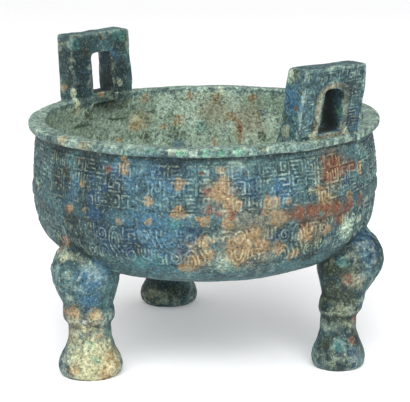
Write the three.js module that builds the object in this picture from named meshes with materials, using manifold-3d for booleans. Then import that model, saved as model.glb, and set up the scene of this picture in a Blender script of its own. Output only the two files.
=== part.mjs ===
// A cast bronze ding: a round bowl with a turned-out rim, two upright loop handles and three hoofed legs.
// It is one casting, so it is one solid. Millimetres, +Z up.
// The origin is on the bowl's axis at the level of the feet, and the handles stand on the X axis.

import * as THREE from 'three';
import { mergeVertices } from 'three/addons/utils/BufferGeometryUtils.js';
import Module from 'manifold-3d';

const wasm = await Module();
wasm.setup();

// Bowl
const RIM_RADIUS = 150;
const RIM_TOP = 203;
const LIP_THICKNESS = 7.5;
const LIP_ROUNDING = 2.2;
const LIP_CHAMFER = 0.7;
const LIP_FILLET = 0.6;
const MOUTH_RADIUS = 135.5;
const NECK_RADIUS = 141.8;
const BELLY_RADIUS = 147.2;
const BELLY_HEIGHT = 155;
const BOTTOM_HEIGHT = 75.8;
const BOTTOM_SQUARENESS = 3.45;
const NECK_CURVE = 1.9;
const WALL = 4.6;
const BOWL_SEGMENTS = 48;

// Decorated bands and the plain raised belt between them
const LOWER_BAND = { from: 106, to: 138 };
const UPPER_BAND = { from: 151.5, to: 189.5 };
const BELT = { from: 140.5, to: 148.6, proud: 1.3 };
const GROUND_DEPTH = 0.8;
const EDGE_SLOPE = 0.9;
const BLOCK_COUNT = 12;
const RIBBON_WIDTH = 7;
const RIBBON_PROUD = 1.3;
const RIBBON_ROOT = 2.4;
const RIBBON_STEP = 17;

// Half of each dragon's body in the bands, in units of the block's half length and half height
const SQUARE_BODY = [[-0.84, -0.2], [-0.84, 0.68], [0, 0.68]];
const ARCHED_BODY = { radius: 0.42, reach: 0.66, steps: 4 };

// Legs: half width of the round section at each height above the ground
const LEG_PROFILE = [
  [0, 23.6], [2, 25.6], [8, 26.9], [14, 25.5], [22, 21.2], [31, 18], [44, 17.6], [48, 21.6],
  [56, 21.8], [59.5, 20.8], [69, 25.4], [78, 28.7], [87, 29.8], [96, 28.4], [105, 23.6], [114, 14],
];
const KNEE_HALF_WIDTH = 29.8;
const LEG_SEGMENTS = 16;
const ANKLE_HEIGHT = 34;
const KNEE_HEIGHT = 88;
const KNEE_FLATTENING = 0.94;
const LEGS = [
  { foot: { angle: 15.2, radius: 130.5 }, knee: { angle: 26.4, radius: 130 }, girth: 0.86 },
  { foot: { angle: 152.8, radius: 129.5 }, knee: { angle: 151, radius: 128 }, girth: 1 },
  { foot: { angle: 267.5, radius: 127.6 }, knee: { angle: 264.5, radius: 125.3 }, girth: 1 },
];
const GIRTH_BLEND = { from: 50, to: 84 };

// Animal mask on each knee
const NOSE = { from: 74, to: 129, width: 6.5, proud: 2, root: 12, levels: 6 };
const EYE = { height: 91, side: 13, radius: 4.4, flattening: 0.45 };
const BROW = { height: 94, side: 14.5, radius: 9.5, width: 3.4, proud: 1.5, from: 27, to: 198, steps: 3 };

// Handles
const HANDLE_TOP = 261;
const HANDLE_ROOT = 196.5;
const HANDLE_CORNER = 4.5;
const HANDLE_BEVEL = 1.4;
const LOOP = { width: 24, from: 206.5, to: 242.5 };
const LOOP_FRAME = { width: 5.2, proud: 0.9 };
const PANEL_BORDER = 3.4;
const LAP = { width: 20, spacing: 46, depth: 17, proud: 0.6, root: 143, tip: 1, foot: 4, overlap: 1.5 };
const HANDLES = [
  {
    angle: 0.4, outerRadius: 145, lean: 9.5, twist: -7, baseWidth: 67, topWidth: 65,
    baseThickness: 25, topThickness: 21, loopCorner: 8,
  },
  {
    angle: 180.7, outerRadius: 149.6, lean: 4, twist: 1, baseWidth: 73, topWidth: 70,
    baseThickness: 18.5, topThickness: 18.5, loopCorner: 4.5,
  },
];
// Length by which a cutting shape stands free of the face that it cuts through
const CUT_MARGIN = 5;

const BRONZE = { color: 0x55705f, roughness: 0.72, metalness: 0.35 };

const radians = THREE.MathUtils.degToRad;

/** A closed manifold solid from a three.js geometry. */
function solidOf(geometry) {
  const bare = geometry.clone();
  bare.deleteAttribute('normal');
  bare.deleteAttribute('uv');
  const merged = mergeVertices(bare, 1e-4);
  const index = merged.index.array;
  const faces = [];
  for (let i = 0; i < index.length; i += 3) {
    const [a, b, c] = [index[i], index[i + 1], index[i + 2]];
    if (a !== b && b !== c && c !== a) faces.push(a, b, c);
  }
  const mesh = new wasm.Mesh({
    numProp: 3,
    vertProperties: new Float32Array(merged.attributes.position.array),
    triVerts: new Uint32Array(faces),
  });
  return new wasm.Manifold(mesh);
}

/** The three.js geometry of a manifold solid. */
function geometryOf(solid) {
  const mesh = solid.getMesh();
  const geometry = new THREE.BufferGeometry();
  geometry.setAttribute('position', new THREE.BufferAttribute(new Float32Array(mesh.vertProperties), 3));
  geometry.setIndex(new THREE.BufferAttribute(new Uint32Array(mesh.triVerts), 1));
  geometry.computeVertexNormals();
  return geometry;
}

/** Moves every vertex of a geometry by a function of its position. */
function warp(geometry, place) {
  const position = geometry.attributes.position;
  const point = new THREE.Vector3();
  for (let i = 0; i < position.count; i += 1) {
    point.fromBufferAttribute(position, i);
    place(point);
    position.setXYZ(i, point.x, point.y, point.z);
  }
  return geometry;
}

/** A solid of revolution about Z from [radius, height] pairs that start and end on the axis. */
function turned(profile, segments) {
  const points = profile.map(([radius, height]) => new THREE.Vector2(radius, height));
  return new THREE.LatheGeometry(points, segments).rotateX(Math.PI / 2);
}

/** Outer radius of the plain bowl wall at a height. */
function wallRadius(height) {
  if (height >= BELLY_HEIGHT) {
    const rise = (height - BELLY_HEIGHT) / (RIM_TOP - LIP_THICKNESS - BELLY_HEIGHT);
    return BELLY_RADIUS - (BELLY_RADIUS - NECK_RADIUS) * rise ** NECK_CURVE;
  }
  const drop = Math.min((BELLY_HEIGHT - height) / (BELLY_HEIGHT - BOTTOM_HEIGHT), 1);
  return BELLY_RADIUS * (1 - drop ** BOTTOM_SQUARENESS) ** (1 / BOTTOM_SQUARENESS);
}

/** A point of the squared-off bottom curve, from the axis (turn 0) to the belly (turn 1), set in. */
function bottomPoint(turn, inset) {
  const angle = (1 - turn) * (Math.PI / 2);
  const power = 2 / BOTTOM_SQUARENESS;
  const radius = (BELLY_RADIUS - inset) * Math.cos(angle) ** power;
  const height = BELLY_HEIGHT - (BELLY_HEIGHT - BOTTOM_HEIGHT - inset) * Math.sin(angle) ** power;
  return [turn === 0 ? 0 : radius, height];
}

/** A recessed band between two plain edges, as profile points. */
function bandProfile(band, steps) {
  const points = [[wallRadius(band.from - EDGE_SLOPE), band.from - EDGE_SLOPE]];
  for (let i = 0; i <= steps; i += 1) {
    const height = THREE.MathUtils.lerp(band.from, band.to, i / steps);
    points.push([wallRadius(height) - GROUND_DEPTH, height]);
  }
  points.push([wallRadius(band.to + EDGE_SLOPE), band.to + EDGE_SLOPE]);
  return points;
}

/** The raised belt, as profile points. */
function beltProfile() {
  const radius = wallRadius((BELT.from + BELT.to) / 2) + BELT.proud;
  return [
    [radius, BELT.from + EDGE_SLOPE],
    [radius, BELT.to - EDGE_SLOPE],
  ];
}

/** The turned-out rim with rounded edges, as profile points from the neck over the top to the mouth. */
function rimProfile() {
  const under = RIM_TOP - LIP_THICKNESS;
  return [
    [NECK_RADIUS, under],
    [RIM_RADIUS - LIP_ROUNDING, under + LIP_CHAMFER],
    [RIM_RADIUS, under + LIP_ROUNDING],
    [RIM_RADIUS, RIM_TOP - LIP_ROUNDING],
    [RIM_RADIUS - LIP_ROUNDING, RIM_TOP - LIP_CHAMFER],
    [RIM_RADIUS - 2 * LIP_ROUNDING, RIM_TOP],
  ];
}

function bowlBody() {
  const profile = [];
  const bottomTurns = [0, 0.22, 0.36, 0.5, 0.6];
  for (const turn of bottomTurns) profile.push(bottomPoint(turn, 0));
  profile.push(...bandProfile(LOWER_BAND, 3), ...beltProfile(), ...bandProfile(UPPER_BAND, 2));
  profile.push(...rimProfile());
  profile.push([0, RIM_TOP]);
  return solidOf(turned(profile, BOWL_SEGMENTS));
}

function bowlCavity() {
  const profile = [];
  const bottomTurns = [0, 0.22, 0.36, 0.48, 0.6, 0.78, 1];
  for (const turn of bottomTurns) profile.push(bottomPoint(turn, WALL));
  const neck = RIM_TOP - 2 * LIP_THICKNESS;
  profile.push([wallRadius(neck) - WALL - LIP_FILLET, neck]);
  profile.push([MOUTH_RADIUS, RIM_TOP - LIP_ROUNDING]);
  profile.push([MOUTH_RADIUS + LIP_ROUNDING, RIM_TOP + LIP_ROUNDING]);
  profile.push([0, RIM_TOP + LIP_ROUNDING]);
  return solidOf(turned(profile, BOWL_SEGMENTS));
}

/** The path with extra points, so that no step is longer than a length. */
function subdivided(path, step) {
  const points = [path[0]];
  for (let i = 1; i < path.length; i += 1) {
    const count = Math.ceil(path[i].distanceTo(path[i - 1]) / step);
    for (let k = 1; k <= count; k += 1) points.push(path[i - 1].clone().lerp(path[i], k / count));
  }
  return points;
}

/** The flat outline of a ribbon of even width along a path of Vector2 points. */
function ribbonShape(path, width, step) {
  const points = subdivided(path, step);
  const left = [];
  const right = [];
  points.forEach((point, i) => {
    const before = point.clone().sub(points[Math.max(i - 1, 0)]).normalize();
    const after = points[Math.min(i + 1, points.length - 1)].clone().sub(point).normalize();
    const first = i === 0 ? after : before;
    const last = i === points.length - 1 ? before : after;
    const mitre = new THREE.Vector2(-first.y - last.y, first.x + last.x);
    mitre.multiplyScalar((width / 2) / (1 + first.dot(last)));
    left.push(point.clone().add(mitre));
    right.unshift(point.clone().sub(mitre));
  });
  return new THREE.Shape([...left, ...right]);
}

/** A ribbon laid on a surface: place turns (along, up, out) into a point in space. */
function ribbon(path, width, proud, root, step, place) {
  const options = { depth: proud + root, steps: 1, bevelEnabled: false };
  const geometry = new THREE.ExtrudeGeometry(ribbonShape(path, width, step), options);
  return solidOf(warp(geometry.translate(0, 0, -root), place));
}

/** Wraps flat coordinates round the bowl, centred on an angle in degrees. */
function onBowl(centreAngle) {
  return (point) => {
    const angle = radians(centreAngle) + point.x / BELLY_RADIUS;
    const radius = wallRadius(point.y) - GROUND_DEPTH + point.z;
    point.set(radius * Math.cos(angle), radius * Math.sin(angle), point.y);
  };
}

/** A path and the same path given a half-turn about the origin, joined end to end. */
function withHalfTurn(path) {
  const other = path.map((point) => point.clone().negate()).reverse();
  const meets = path.at(-1).distanceTo(other[0]) < 1e-6;
  return [...path, ...other.slice(meets ? 1 : 0)];
}

/** The squared S of the upper band: a dragon's body that turns back on itself at both ends. */
function squareBody(halfLength, halfHeight) {
  return withHalfTurn(SQUARE_BODY.map(([x, y]) => new THREE.Vector2(x * halfLength, y * halfHeight)));
}

/** The arched S of the lower band: one arch up and one down. */
function archedBody(halfLength, halfHeight) {
  const radius = ARCHED_BODY.radius * halfLength;
  const reach = ARCHED_BODY.reach * halfHeight;
  const points = [];
  for (let i = 0; i <= ARCHED_BODY.steps; i += 1) {
    const angle = Math.PI * (1 - i / ARCHED_BODY.steps);
    points.push(new THREE.Vector2(-radius + radius * Math.cos(angle), reach * Math.sin(angle)));
  }
  return withHalfTurn(points);
}

/** The ribbon of one block of a band. */
function blockRibbon(band, centreAngle, body) {
  const middle = (band.from + band.to) / 2;
  const halfHeight = (band.to - band.from) / 2;
  const halfLength = (Math.PI * BELLY_RADIUS) / BLOCK_COUNT;
  const path = body(halfLength, halfHeight).map((point) => new THREE.Vector2(point.x, middle + point.y));
  return ribbon(path, RIBBON_WIDTH, RIBBON_PROUD, RIBBON_ROOT, RIBBON_STEP, onBowl(centreAngle));
}

function bandRibbons() {
  const ribbons = [];
  for (let block = 0; block < BLOCK_COUNT; block += 1) {
    const angle = (block * 360) / BLOCK_COUNT;
    ribbons.push(blockRibbon(UPPER_BAND, angle, squareBody));
    ribbons.push(blockRibbon(LOWER_BAND, angle, archedBody));
  }
  return ribbons;
}

/** The point of the plan at an angle in degrees and a distance from the bowl's axis. */
function fromPolar(angle, radius) {
  return new THREE.Vector2(radius * Math.cos(radians(angle)), radius * Math.sin(radians(angle)));
}

/** Place of a leg's axis at a height: the foot stands apart from the knee. */
function legAxis(leg, height) {
  const rise = THREE.MathUtils.smoothstep(height, ANKLE_HEIGHT, KNEE_HEIGHT);
  return fromPolar(leg.foot.angle, leg.foot.radius).lerp(fromPolar(leg.knee.angle, leg.knee.radius), rise);
}

/** How much slimmer than the others a leg is at a height: the knees are alike. */
function girth(leg, height) {
  const blend = THREE.MathUtils.smoothstep(height, GIRTH_BLEND.from, GIRTH_BLEND.to);
  return THREE.MathUtils.lerp(leg.girth, 1, blend);
}

/** Half width of the leg at a height, between the levels of its profile. */
function legHalfWidth(leg, height) {
  const above = LEG_PROFILE.findIndex(([level]) => level > height);
  const next = above < 0 ? LEG_PROFILE.length - 1 : Math.max(above, 1);
  const [low, narrow] = LEG_PROFILE[next - 1];
  const [high, wide] = LEG_PROFILE[next];
  return THREE.MathUtils.mapLinear(height, low, high, narrow, wide) * girth(leg, height);
}

/** Moves a point given about the leg's own axis, with x pointing out of the bowl, to its place. */
function onLegAxis(leg, point, flattening) {
  const axis = legAxis(leg, point.z);
  const angle = radians(leg.knee.angle);
  const out = point.x * flattening;
  const x = axis.x + out * Math.cos(angle) - point.y * Math.sin(angle);
  const y = axis.y + out * Math.sin(angle) + point.y * Math.cos(angle);
  point.set(x, y, point.z);
}

function kneeFlattening(height) {
  const rise = THREE.MathUtils.smoothstep(height, ANKLE_HEIGHT, KNEE_HEIGHT);
  return THREE.MathUtils.lerp(1, KNEE_FLATTENING, rise);
}

function legBody(leg) {
  const top = LEG_PROFILE.at(-1)[0];
  const profile = [[0, 0], ...LEG_PROFILE.map(([height, half]) => [half, height]), [0, top]];
  return solidOf(warp(turned(profile, LEG_SEGMENTS), (point) => {
    const slimness = girth(leg, point.z);
    point.x *= slimness;
    point.y *= slimness;
    onLegAxis(leg, point, kneeFlattening(point.z));
  }));
}

/** Wraps flat coordinates round the knee: x along its girth from the front, y the height, z outwards. */
function onKnee(leg) {
  return (point) => {
    const half = legHalfWidth(leg, point.y);
    const angle = point.x / KNEE_HALF_WIDTH;
    point.set((half + point.z) * Math.cos(angle), (half + point.z) * Math.sin(angle), point.y);
    onLegAxis(leg, point, kneeFlattening(point.z));
  };
}

/** The straight nose ridge that runs from the bowl's wall down the front of the knee. */
function noseRidge(leg) {
  const shape = new THREE.Shape();
  const edge = [];
  for (let i = 0; i <= NOSE.levels; i += 1) {
    const height = THREE.MathUtils.lerp(NOSE.from, NOSE.to, i / NOSE.levels);
    const knee = height < LEG_PROFILE.at(-1)[0] ? legHalfWidth(leg, height) * kneeFlattening(height) : 0;
    const wall = wallRadius(height) - leg.knee.radius;
    const fade = Math.sin((Math.PI * (i + 1)) / (NOSE.levels + 2));
    edge.push([Math.max(knee, wall) + NOSE.proud * fade, height]);
  }
  shape.moveTo(edge[0][0] - NOSE.root, NOSE.from);
  for (const [out, height] of edge) shape.lineTo(out, height);
  shape.lineTo(edge.at(-1)[0] - NOSE.root, NOSE.to);
  const geometry = new THREE.ExtrudeGeometry(shape, { depth: NOSE.width, steps: 1, bevelEnabled: false });
  geometry.translate(0, 0, -NOSE.width / 2).rotateX(Math.PI / 2);
  return solidOf(warp(geometry, (point) => onLegAxis(leg, point, 1)));
}

/** The curled brow over one eye, as a path on the unrolled knee. */
function browPath(side) {
  const points = [];
  for (let i = 0; i <= BROW.steps; i += 1) {
    const angle = radians(THREE.MathUtils.lerp(BROW.from, BROW.to, i / BROW.steps));
    const across = BROW.side + BROW.radius * Math.cos(angle);
    points.push(new THREE.Vector2(side * across, BROW.height + BROW.radius * Math.sin(angle)));
  }
  return side > 0 ? points : points.reverse();
}

/** Round eyes and curled brows, one pair each side of the nose. */
function maskFeatures(leg) {
  const features = [];
  for (const side of [-1, 1]) {
    const eye = new THREE.SphereGeometry(EYE.radius, 7, 4).scale(1, 1, EYE.flattening);
    eye.translate(side * EYE.side, EYE.height, 0);
    features.push(solidOf(warp(eye, onKnee(leg))));
    features.push(ribbon(browPath(side), BROW.width, BROW.proud, RIBBON_ROOT, RIBBON_STEP, onKnee(leg)));
  }
  return features;
}

function legs() {
  return LEGS.flatMap((leg) => [legBody(leg), noseRidge(leg), ...maskFeatures(leg)]);
}

/** A slab outline that narrows upwards and has rounded top corners. */
function slabShape(handle, inset) {
  const base = handle.baseWidth / 2 - inset;
  const top = handle.topWidth / 2 - inset;
  const high = HANDLE_TOP - inset;
  const shape = new THREE.Shape();
  shape.moveTo(-base, HANDLE_ROOT);
  shape.lineTo(base, HANDLE_ROOT);
  shape.lineTo(top, high - HANDLE_CORNER);
  shape.quadraticCurveTo(top, high, top - HANDLE_CORNER, high);
  shape.lineTo(HANDLE_CORNER - top, high);
  shape.quadraticCurveTo(-top, high, -top, high - HANDLE_CORNER);
  shape.closePath();
  return shape;
}

/** The outline of the loop's opening, grown by a margin: straight sides and rounded top corners. */
function loopShape(handle, margin, from) {
  const half = LOOP.width / 2 + margin;
  const top = LOOP.to + margin;
  const corner = handle.loopCorner + margin;
  const shape = new THREE.Shape();
  shape.moveTo(-half, from);
  shape.lineTo(half, from);
  shape.lineTo(half, top - corner);
  shape.absarc(half - corner, top - corner, corner, 0, Math.PI / 2);
  shape.absarc(corner - half, top - corner, corner, Math.PI / 2, Math.PI);
  shape.closePath();
  return shape;
}

/** Extrudes a shape from one distance outwards to another; x is across, y is up and z is out. */
function slab(shape, from, to, bevel) {
  const options = {
    depth: to - from - 2 * bevel,
    steps: 1,
    curveSegments: 4,
    bevelEnabled: bevel > 0,
    bevelThickness: bevel,
    bevelSize: bevel,
    bevelOffset: -bevel,
    bevelSegments: 1,
  };
  return new THREE.ExtrudeGeometry(shape, options).translate(0, 0, from + bevel);
}

/** Stands a slab geometry at its handle's place on the rim, leaning outwards and thinning to its top. */
function onRim(handle) {
  const angle = radians(handle.angle + handle.twist);
  const centre = fromPolar(handle.angle, handle.outerRadius);
  return (point) => {
    const rise = Math.max((point.y - RIM_TOP) / (HANDLE_TOP - RIM_TOP), 0);
    const thinning = THREE.MathUtils.lerp(1, handle.topThickness / handle.baseThickness, rise);
    const out = point.z * thinning + handle.lean * rise;
    const x = centre.x + out * Math.cos(angle) - point.x * Math.sin(angle);
    const y = centre.y + out * Math.sin(angle) + point.x * Math.cos(angle);
    point.set(x, y, point.y);
  };
}

/** The two tabs by which a handle laps down inside the mouth, each thinning to the bowl's wall. */
function lapTabs(handle) {
  const profile = new THREE.Shape();
  const inner = -handle.baseThickness - LAP.proud;
  const root = LAP.root - handle.outerRadius;
  profile.moveTo(inner, RIM_TOP - LAP.foot);
  profile.lineTo(MOUTH_RADIUS - handle.outerRadius, RIM_TOP - LAP.depth);
  profile.lineTo(root - LAP.tip, RIM_TOP - LAP.depth);
  profile.lineTo(root, RIM_TOP + LAP.overlap);
  profile.lineTo(inner, RIM_TOP + LAP.overlap);
  profile.closePath();
  return [-1, 1].map((side) => {
    const geometry = new THREE.ExtrudeGeometry(profile, { depth: LAP.width, steps: 1, bevelEnabled: false });
    geometry.translate(0, 0, (side * LAP.spacing - LAP.width) / 2).rotateY(-Math.PI / 2);
    return solidOf(warp(geometry, onRim(handle)));
  });
}

function handleSolid(handle) {
  const stood = (shape, from, to, bevel) => solidOf(warp(slab(shape, from, to, bevel), onRim(handle)));
  const inner = -handle.baseThickness;
  const frameShape = loopShape(handle, LOOP_FRAME.width, HANDLE_ROOT);
  const body = stood(slabShape(handle, 0), inner, 0, HANDLE_BEVEL);
  const panel = stood(slabShape(handle, PANEL_BORDER), -GROUND_DEPTH, CUT_MARGIN, 0);
  const frame = stood(frameShape, -CUT_MARGIN, LOOP_FRAME.proud - GROUND_DEPTH, 0);
  const loop = stood(loopShape(handle, 0, LOOP.from), inner - CUT_MARGIN, CUT_MARGIN, 0);
  return body.subtract(panel).add(frame).subtract(loop);
}

function casting() {
  const outside = [...legs(), ...bandRibbons()];
  let solid = bowlBody();
  for (const piece of outside) solid = solid.add(piece);
  solid = solid.subtract(bowlCavity());
  for (const handle of HANDLES) {
    solid = solid.add(handleSolid(handle));
    for (const tab of lapTabs(handle)) solid = solid.add(tab);
  }
  return solid;
}

const vessel = new THREE.Mesh(geometryOf(casting()), new THREE.MeshStandardMaterial(BRONZE));
vessel.name = 'ding_vessel';

const group = new THREE.Group();
group.add(vessel);

export default group;
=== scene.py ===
"""A cast bronze ding: a round bowl on three hoofed legs, with two upright loop handles on its rim.

Lengths in the functions below are millimetres, and the finished mesh is in metres.
The origin is on the bowl's axis at the level of the feet, and the handles stand on the X axis.
"""

import math

import bpy
import numpy as np
from bpy.props import FloatProperty, FloatVectorProperty, IntProperty, PointerProperty
from mathutils import Matrix, Vector, noise
from mathutils.bvhtree import BVHTree


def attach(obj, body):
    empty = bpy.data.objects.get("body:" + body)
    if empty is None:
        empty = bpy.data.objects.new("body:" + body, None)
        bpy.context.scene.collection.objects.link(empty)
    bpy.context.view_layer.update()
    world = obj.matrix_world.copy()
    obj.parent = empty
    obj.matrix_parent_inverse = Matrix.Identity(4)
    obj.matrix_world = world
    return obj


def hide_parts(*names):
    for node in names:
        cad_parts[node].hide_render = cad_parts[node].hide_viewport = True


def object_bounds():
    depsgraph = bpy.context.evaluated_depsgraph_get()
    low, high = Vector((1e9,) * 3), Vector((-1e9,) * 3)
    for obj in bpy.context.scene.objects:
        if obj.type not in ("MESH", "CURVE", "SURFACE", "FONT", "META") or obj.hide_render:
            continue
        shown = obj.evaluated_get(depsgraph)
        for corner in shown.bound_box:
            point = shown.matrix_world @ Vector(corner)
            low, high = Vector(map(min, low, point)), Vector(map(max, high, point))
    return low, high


bl_info = {
    "name": "Bronze ding vessel",
    "version": (1, 0, 0),
    "blender": (4, 5, 0),
    "location": "3D View > Sidebar > Ding",
    "description": "Makes an ancient bronze tripod vessel with interlaced relief and patina",
    "category": "Add Mesh",
}

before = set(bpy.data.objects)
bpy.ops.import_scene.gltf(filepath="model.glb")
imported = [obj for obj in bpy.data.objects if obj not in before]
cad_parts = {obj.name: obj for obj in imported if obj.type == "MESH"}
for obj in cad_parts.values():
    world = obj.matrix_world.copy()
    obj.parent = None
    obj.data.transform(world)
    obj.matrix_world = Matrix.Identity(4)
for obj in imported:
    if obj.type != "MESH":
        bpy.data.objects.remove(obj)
CAD_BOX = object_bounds()
MM = 0.001

# Bowl
RIM_RADIUS = 150.0
RIM_TOP = 203.0
LIP_THICKNESS = 7.5
LIP_ROUNDING = 2.2
MOUTH_RADIUS = 135.5
NECK_RADIUS = 141.8
BELLY_RADIUS = 147.2
BELLY_HEIGHT = 155.0
BOTTOM_HEIGHT = 75.8
BOTTOM_SQUARENESS = 3.45
NECK_CURVE = 1.9
WALL = 4.6
LIP_ROOT = ((0.4, -2.2), (1.2, 0), (3, 0.3))
RIM_FLAT = 9.0
QUARTER_STEPS = 6
BOTTOM_TURNS = (0.05, 0.59, 40)
CAVITY = {"turns": (0.04, 1, 64), "neck_rows": 16, "neck_taper": 0.6, "lip_taper": 0.8, "lip_rise": 6.0}
SEGMENTS = 360

# Relief bands, in blocks that repeat round the bowl
BLOCK_COUNT = 12
UNITS_ALONG = 24
CELLS_ALONG = 6
CURVE_STEPS = 12
COIL_INWARDS = 0.85
STEPS_PER_UNIT = 6
UNIT = 2 * math.pi * BELLY_RADIUS / (BLOCK_COUNT * UNITS_ALONG)
UPPER_BAND = (151.5, 189.5)
UPPER_UNITS = 12
LOWER_BAND = (106.0, 138.0)
LOWER_UNITS = 10
BELT = (140.5, 148.6)
BELT_PROUD = 1.3
BELT_EDGE_DROP = 0.25
GROUND_DEPTH = 0.8
EDGE_SLOPE = 0.9
# In units of the pattern: a motif's cell, the bands' plain edges, the reach past a block's ends, slopes
MOTIF_CELL = 4
BAND_MARGIN = 0.2
OVERHANG = 2
HOOK_SLOPE = 0.13
BODY_SLOPE = 0.3
# The wide bodies under the hooks: half of an S in shares of half a block, and the arches' radius and rise
SQUARE_BODY = ((-0.84, -0.2), (-0.84, 0.68), (0, 0.68))
ARCHED_BODY = {"radius": 0.42, "reach": 0.66}
BODY_WIDTH = 7.0
BODY_SHARE = 0.55

# Legs: half width of the round section at each height above the ground
LEG_PROFILE = (
    (0, 23.6), (2, 25.6), (8, 26.9), (14, 25.5), (22, 21.2), (31, 18), (44, 17.6), (48, 21.6),
    (56, 21.8), (59.5, 20.8), (69, 25.4), (78, 28.7), (87, 29.8), (96, 28.4), (105, 23.6), (114, 14),
)
LEG_TOP = LEG_PROFILE[-1][0]
LEG_BLEND = 1.2
LEG_SIDES = 192
LEG_ROWS = 180
FIRST_ROW = 0.6
SOLE_ROUNDING = 1.2
SOLE_HEIGHT = 1.5
KNEE_HALF_WIDTH = 29.8
ANKLE_HEIGHT = 34.0
KNEE_HEIGHT = 88.0
KNEE_FLATTENING = 0.94
GIRTH_BLEND = (50.0, 84.0)
LEGS = {
    "right": {"foot": (15.2, 130.5), "knee": (26.4, 130.0), "girth": 0.86, "mask": 0.4},
    "back": {"foot": (152.8, 129.5), "knee": (151.0, 128.0), "girth": 1.0, "mask": 1.0},
    "front": {"foot": (267.5, 127.6), "knee": (264.5, 125.3), "girth": 1.0, "mask": 0.7},
}
NOSE = {"from": 74.0, "to": 129.0, "half_width": 3.3, "proud": 2.0, "root": 12.0, "rows": 40, "bevel": 0.9}
NOSE_SECTION = ((-1, 0), (-1, 1), (-0.55, 1), (0.55, 1), (1, 1), (1, 0))
NOSE_FADE = (0.11, 0.89)
# The animal mask on a knee, in millimetres: across from the nose and height above the ground
MASK_EYE = {"across": 13.0, "height": 91.0, "radius": 4.4, "proud": 2.0}
MASK_COILS = ((13, 91, 4.4, 1.6, math.pi), (26, 77.5, 4.6, 1.7, math.pi / 2), (9, 70, 3.6, 1.5, 0))
MASK_LINES = (
    ((5, 99), (9, 104), (17, 104.5), (23, 100), (25, 93), (22, 86), (16, 83.5)),
    ((5, 80), (10, 77), (16, 77.5), (20, 80.5)),
    ((6, 86), (6, 94)),
    ((29, 84), (33, 92), (33, 101)),
)
MASK_REACH = 40.0
MASK_HEIGHTS = (62.0, 110.0)
MASK_LINE = 1.7
MASK_SLOPE = 0.7

# Handles
HANDLE_TOP = 261.0
HANDLE_ROOT = 196.5
HANDLE_CORNER = 4.5
HANDLE_BEVEL = 1.4
LOOP = {"width": 24.0, "from": 206.5, "to": 242.5}
LOOP_FRAME = 5.2
LOOP_STEPS = 30
LOOP_OVERSHOOT = 8.0
FRAME_SLOPE = 0.3
PANEL_BORDER = 3.4
PANEL_SLOPE = 0.4
PANEL_FADE = 0.6
ROUNDED_FROM = 0.8
PANEL_LINE = 1.0
PANEL_RELIEF = 0.8
HANDLE_GRID = (113, 129)
HANDLE_LAYERS = 14
HANDLE_CELL = 10.4
HANDLE_CELLS = (
    (-29.2, 205.0, ("h1", "c0", "s1", "t3")),
    (18.8, 205.0, ("s1", "h3", "c2", "t1")),
    (-31.2, 246.8, ("c0 s0 t0 h2 c3 s0",)),
)
LAP = {
    "width": 21.0, "spacing": 46.0, "depth": 25.0, "proud": 0.6, "root": 143.0, "foot": 4.0, "above": 1.5,
    "curve": 1.8, "steps": 14,
}
LONGEST_SIDE = 1.5
HANDLES = {
    "right": {
        "angle": 0.4, "radius": 145.0, "lean": 9.5, "twist": -7.0, "base_width": 67.0, "top_width": 65.0,
        "base_thickness": 25.0, "top_thickness": 21.0, "loop_corner": 8.0, "loop_taper": 0.8,
        "loop_painted_shade": 1.0,
    },
    "left": {
        "angle": 180.7, "radius": 149.6, "lean": 4.0, "twist": 1.0, "base_width": 73.0, "top_width": 70.0,
        "base_thickness": 18.5, "top_thickness": 18.5, "loop_corner": 4.5, "loop_taper": 1.0,
        "loop_painted_shade": 0.6,
    },
}

# Surface: wear smooths the relief in patches, more on one side, and waves (size, share, shift) move it
JOIN_DISTANCE = 0.01 * MM
BOX_MARGIN = 0.02
FLAT_FOOT = 0.4
SHORT_EDGE = 2.6
WEAR_PATCH = 17.0
WEAR_SHIFT = 3
WEAR_ROUNDS = 10
WEAR = 0.85
WEAR_EDGE = (-0.15, 0.45)
WORN_SIDE = 270.0
WORN_SIDE_SHARE = 0.3
WAVES = ((26, 1.0, 0), (9, 0.35, 5), (3.2, 0.3, 7))
STILL_FOOT = (0.5, 6.0)
LUMP_EDGE = (0.3, 1.2)
LUMP_FACING = 0.2

# Camera, as fitted to the photograph
PICTURE = (410, 402)
AIM = Vector((0, 0, 0.120))
AZIMUTH = 47.0
ELEVATION = 13.7
ROLL = -0.65
DISTANCE = 1.524
SENSOR = 36.0
LENS = 154.27
SHIFT_Y = 0.0173
PIXEL = DISTANCE / MM * SENSOR / LENS / PICTURE[0]

# Stage
LIGHTS = {
    "key": {"turn": -25.0, "elevation": 52.0, "power": 26.0},
    "front": {"turn": 15.0, "elevation": 33.0, "power": 34.0},
}
LIGHT_DISTANCE = 2.2
LIGHT_SIZE = 1.4
WORLD_STRENGTH = 0.8
FLOOR_REACH = 9000
FLOOR_DROP = 0.05
FLOOR_COLOUR = (0.96, 0.96, 0.97, 1)
FLOOR_ROUGHNESS = 0.9
FLOOR_GLOW = 0.1
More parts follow.
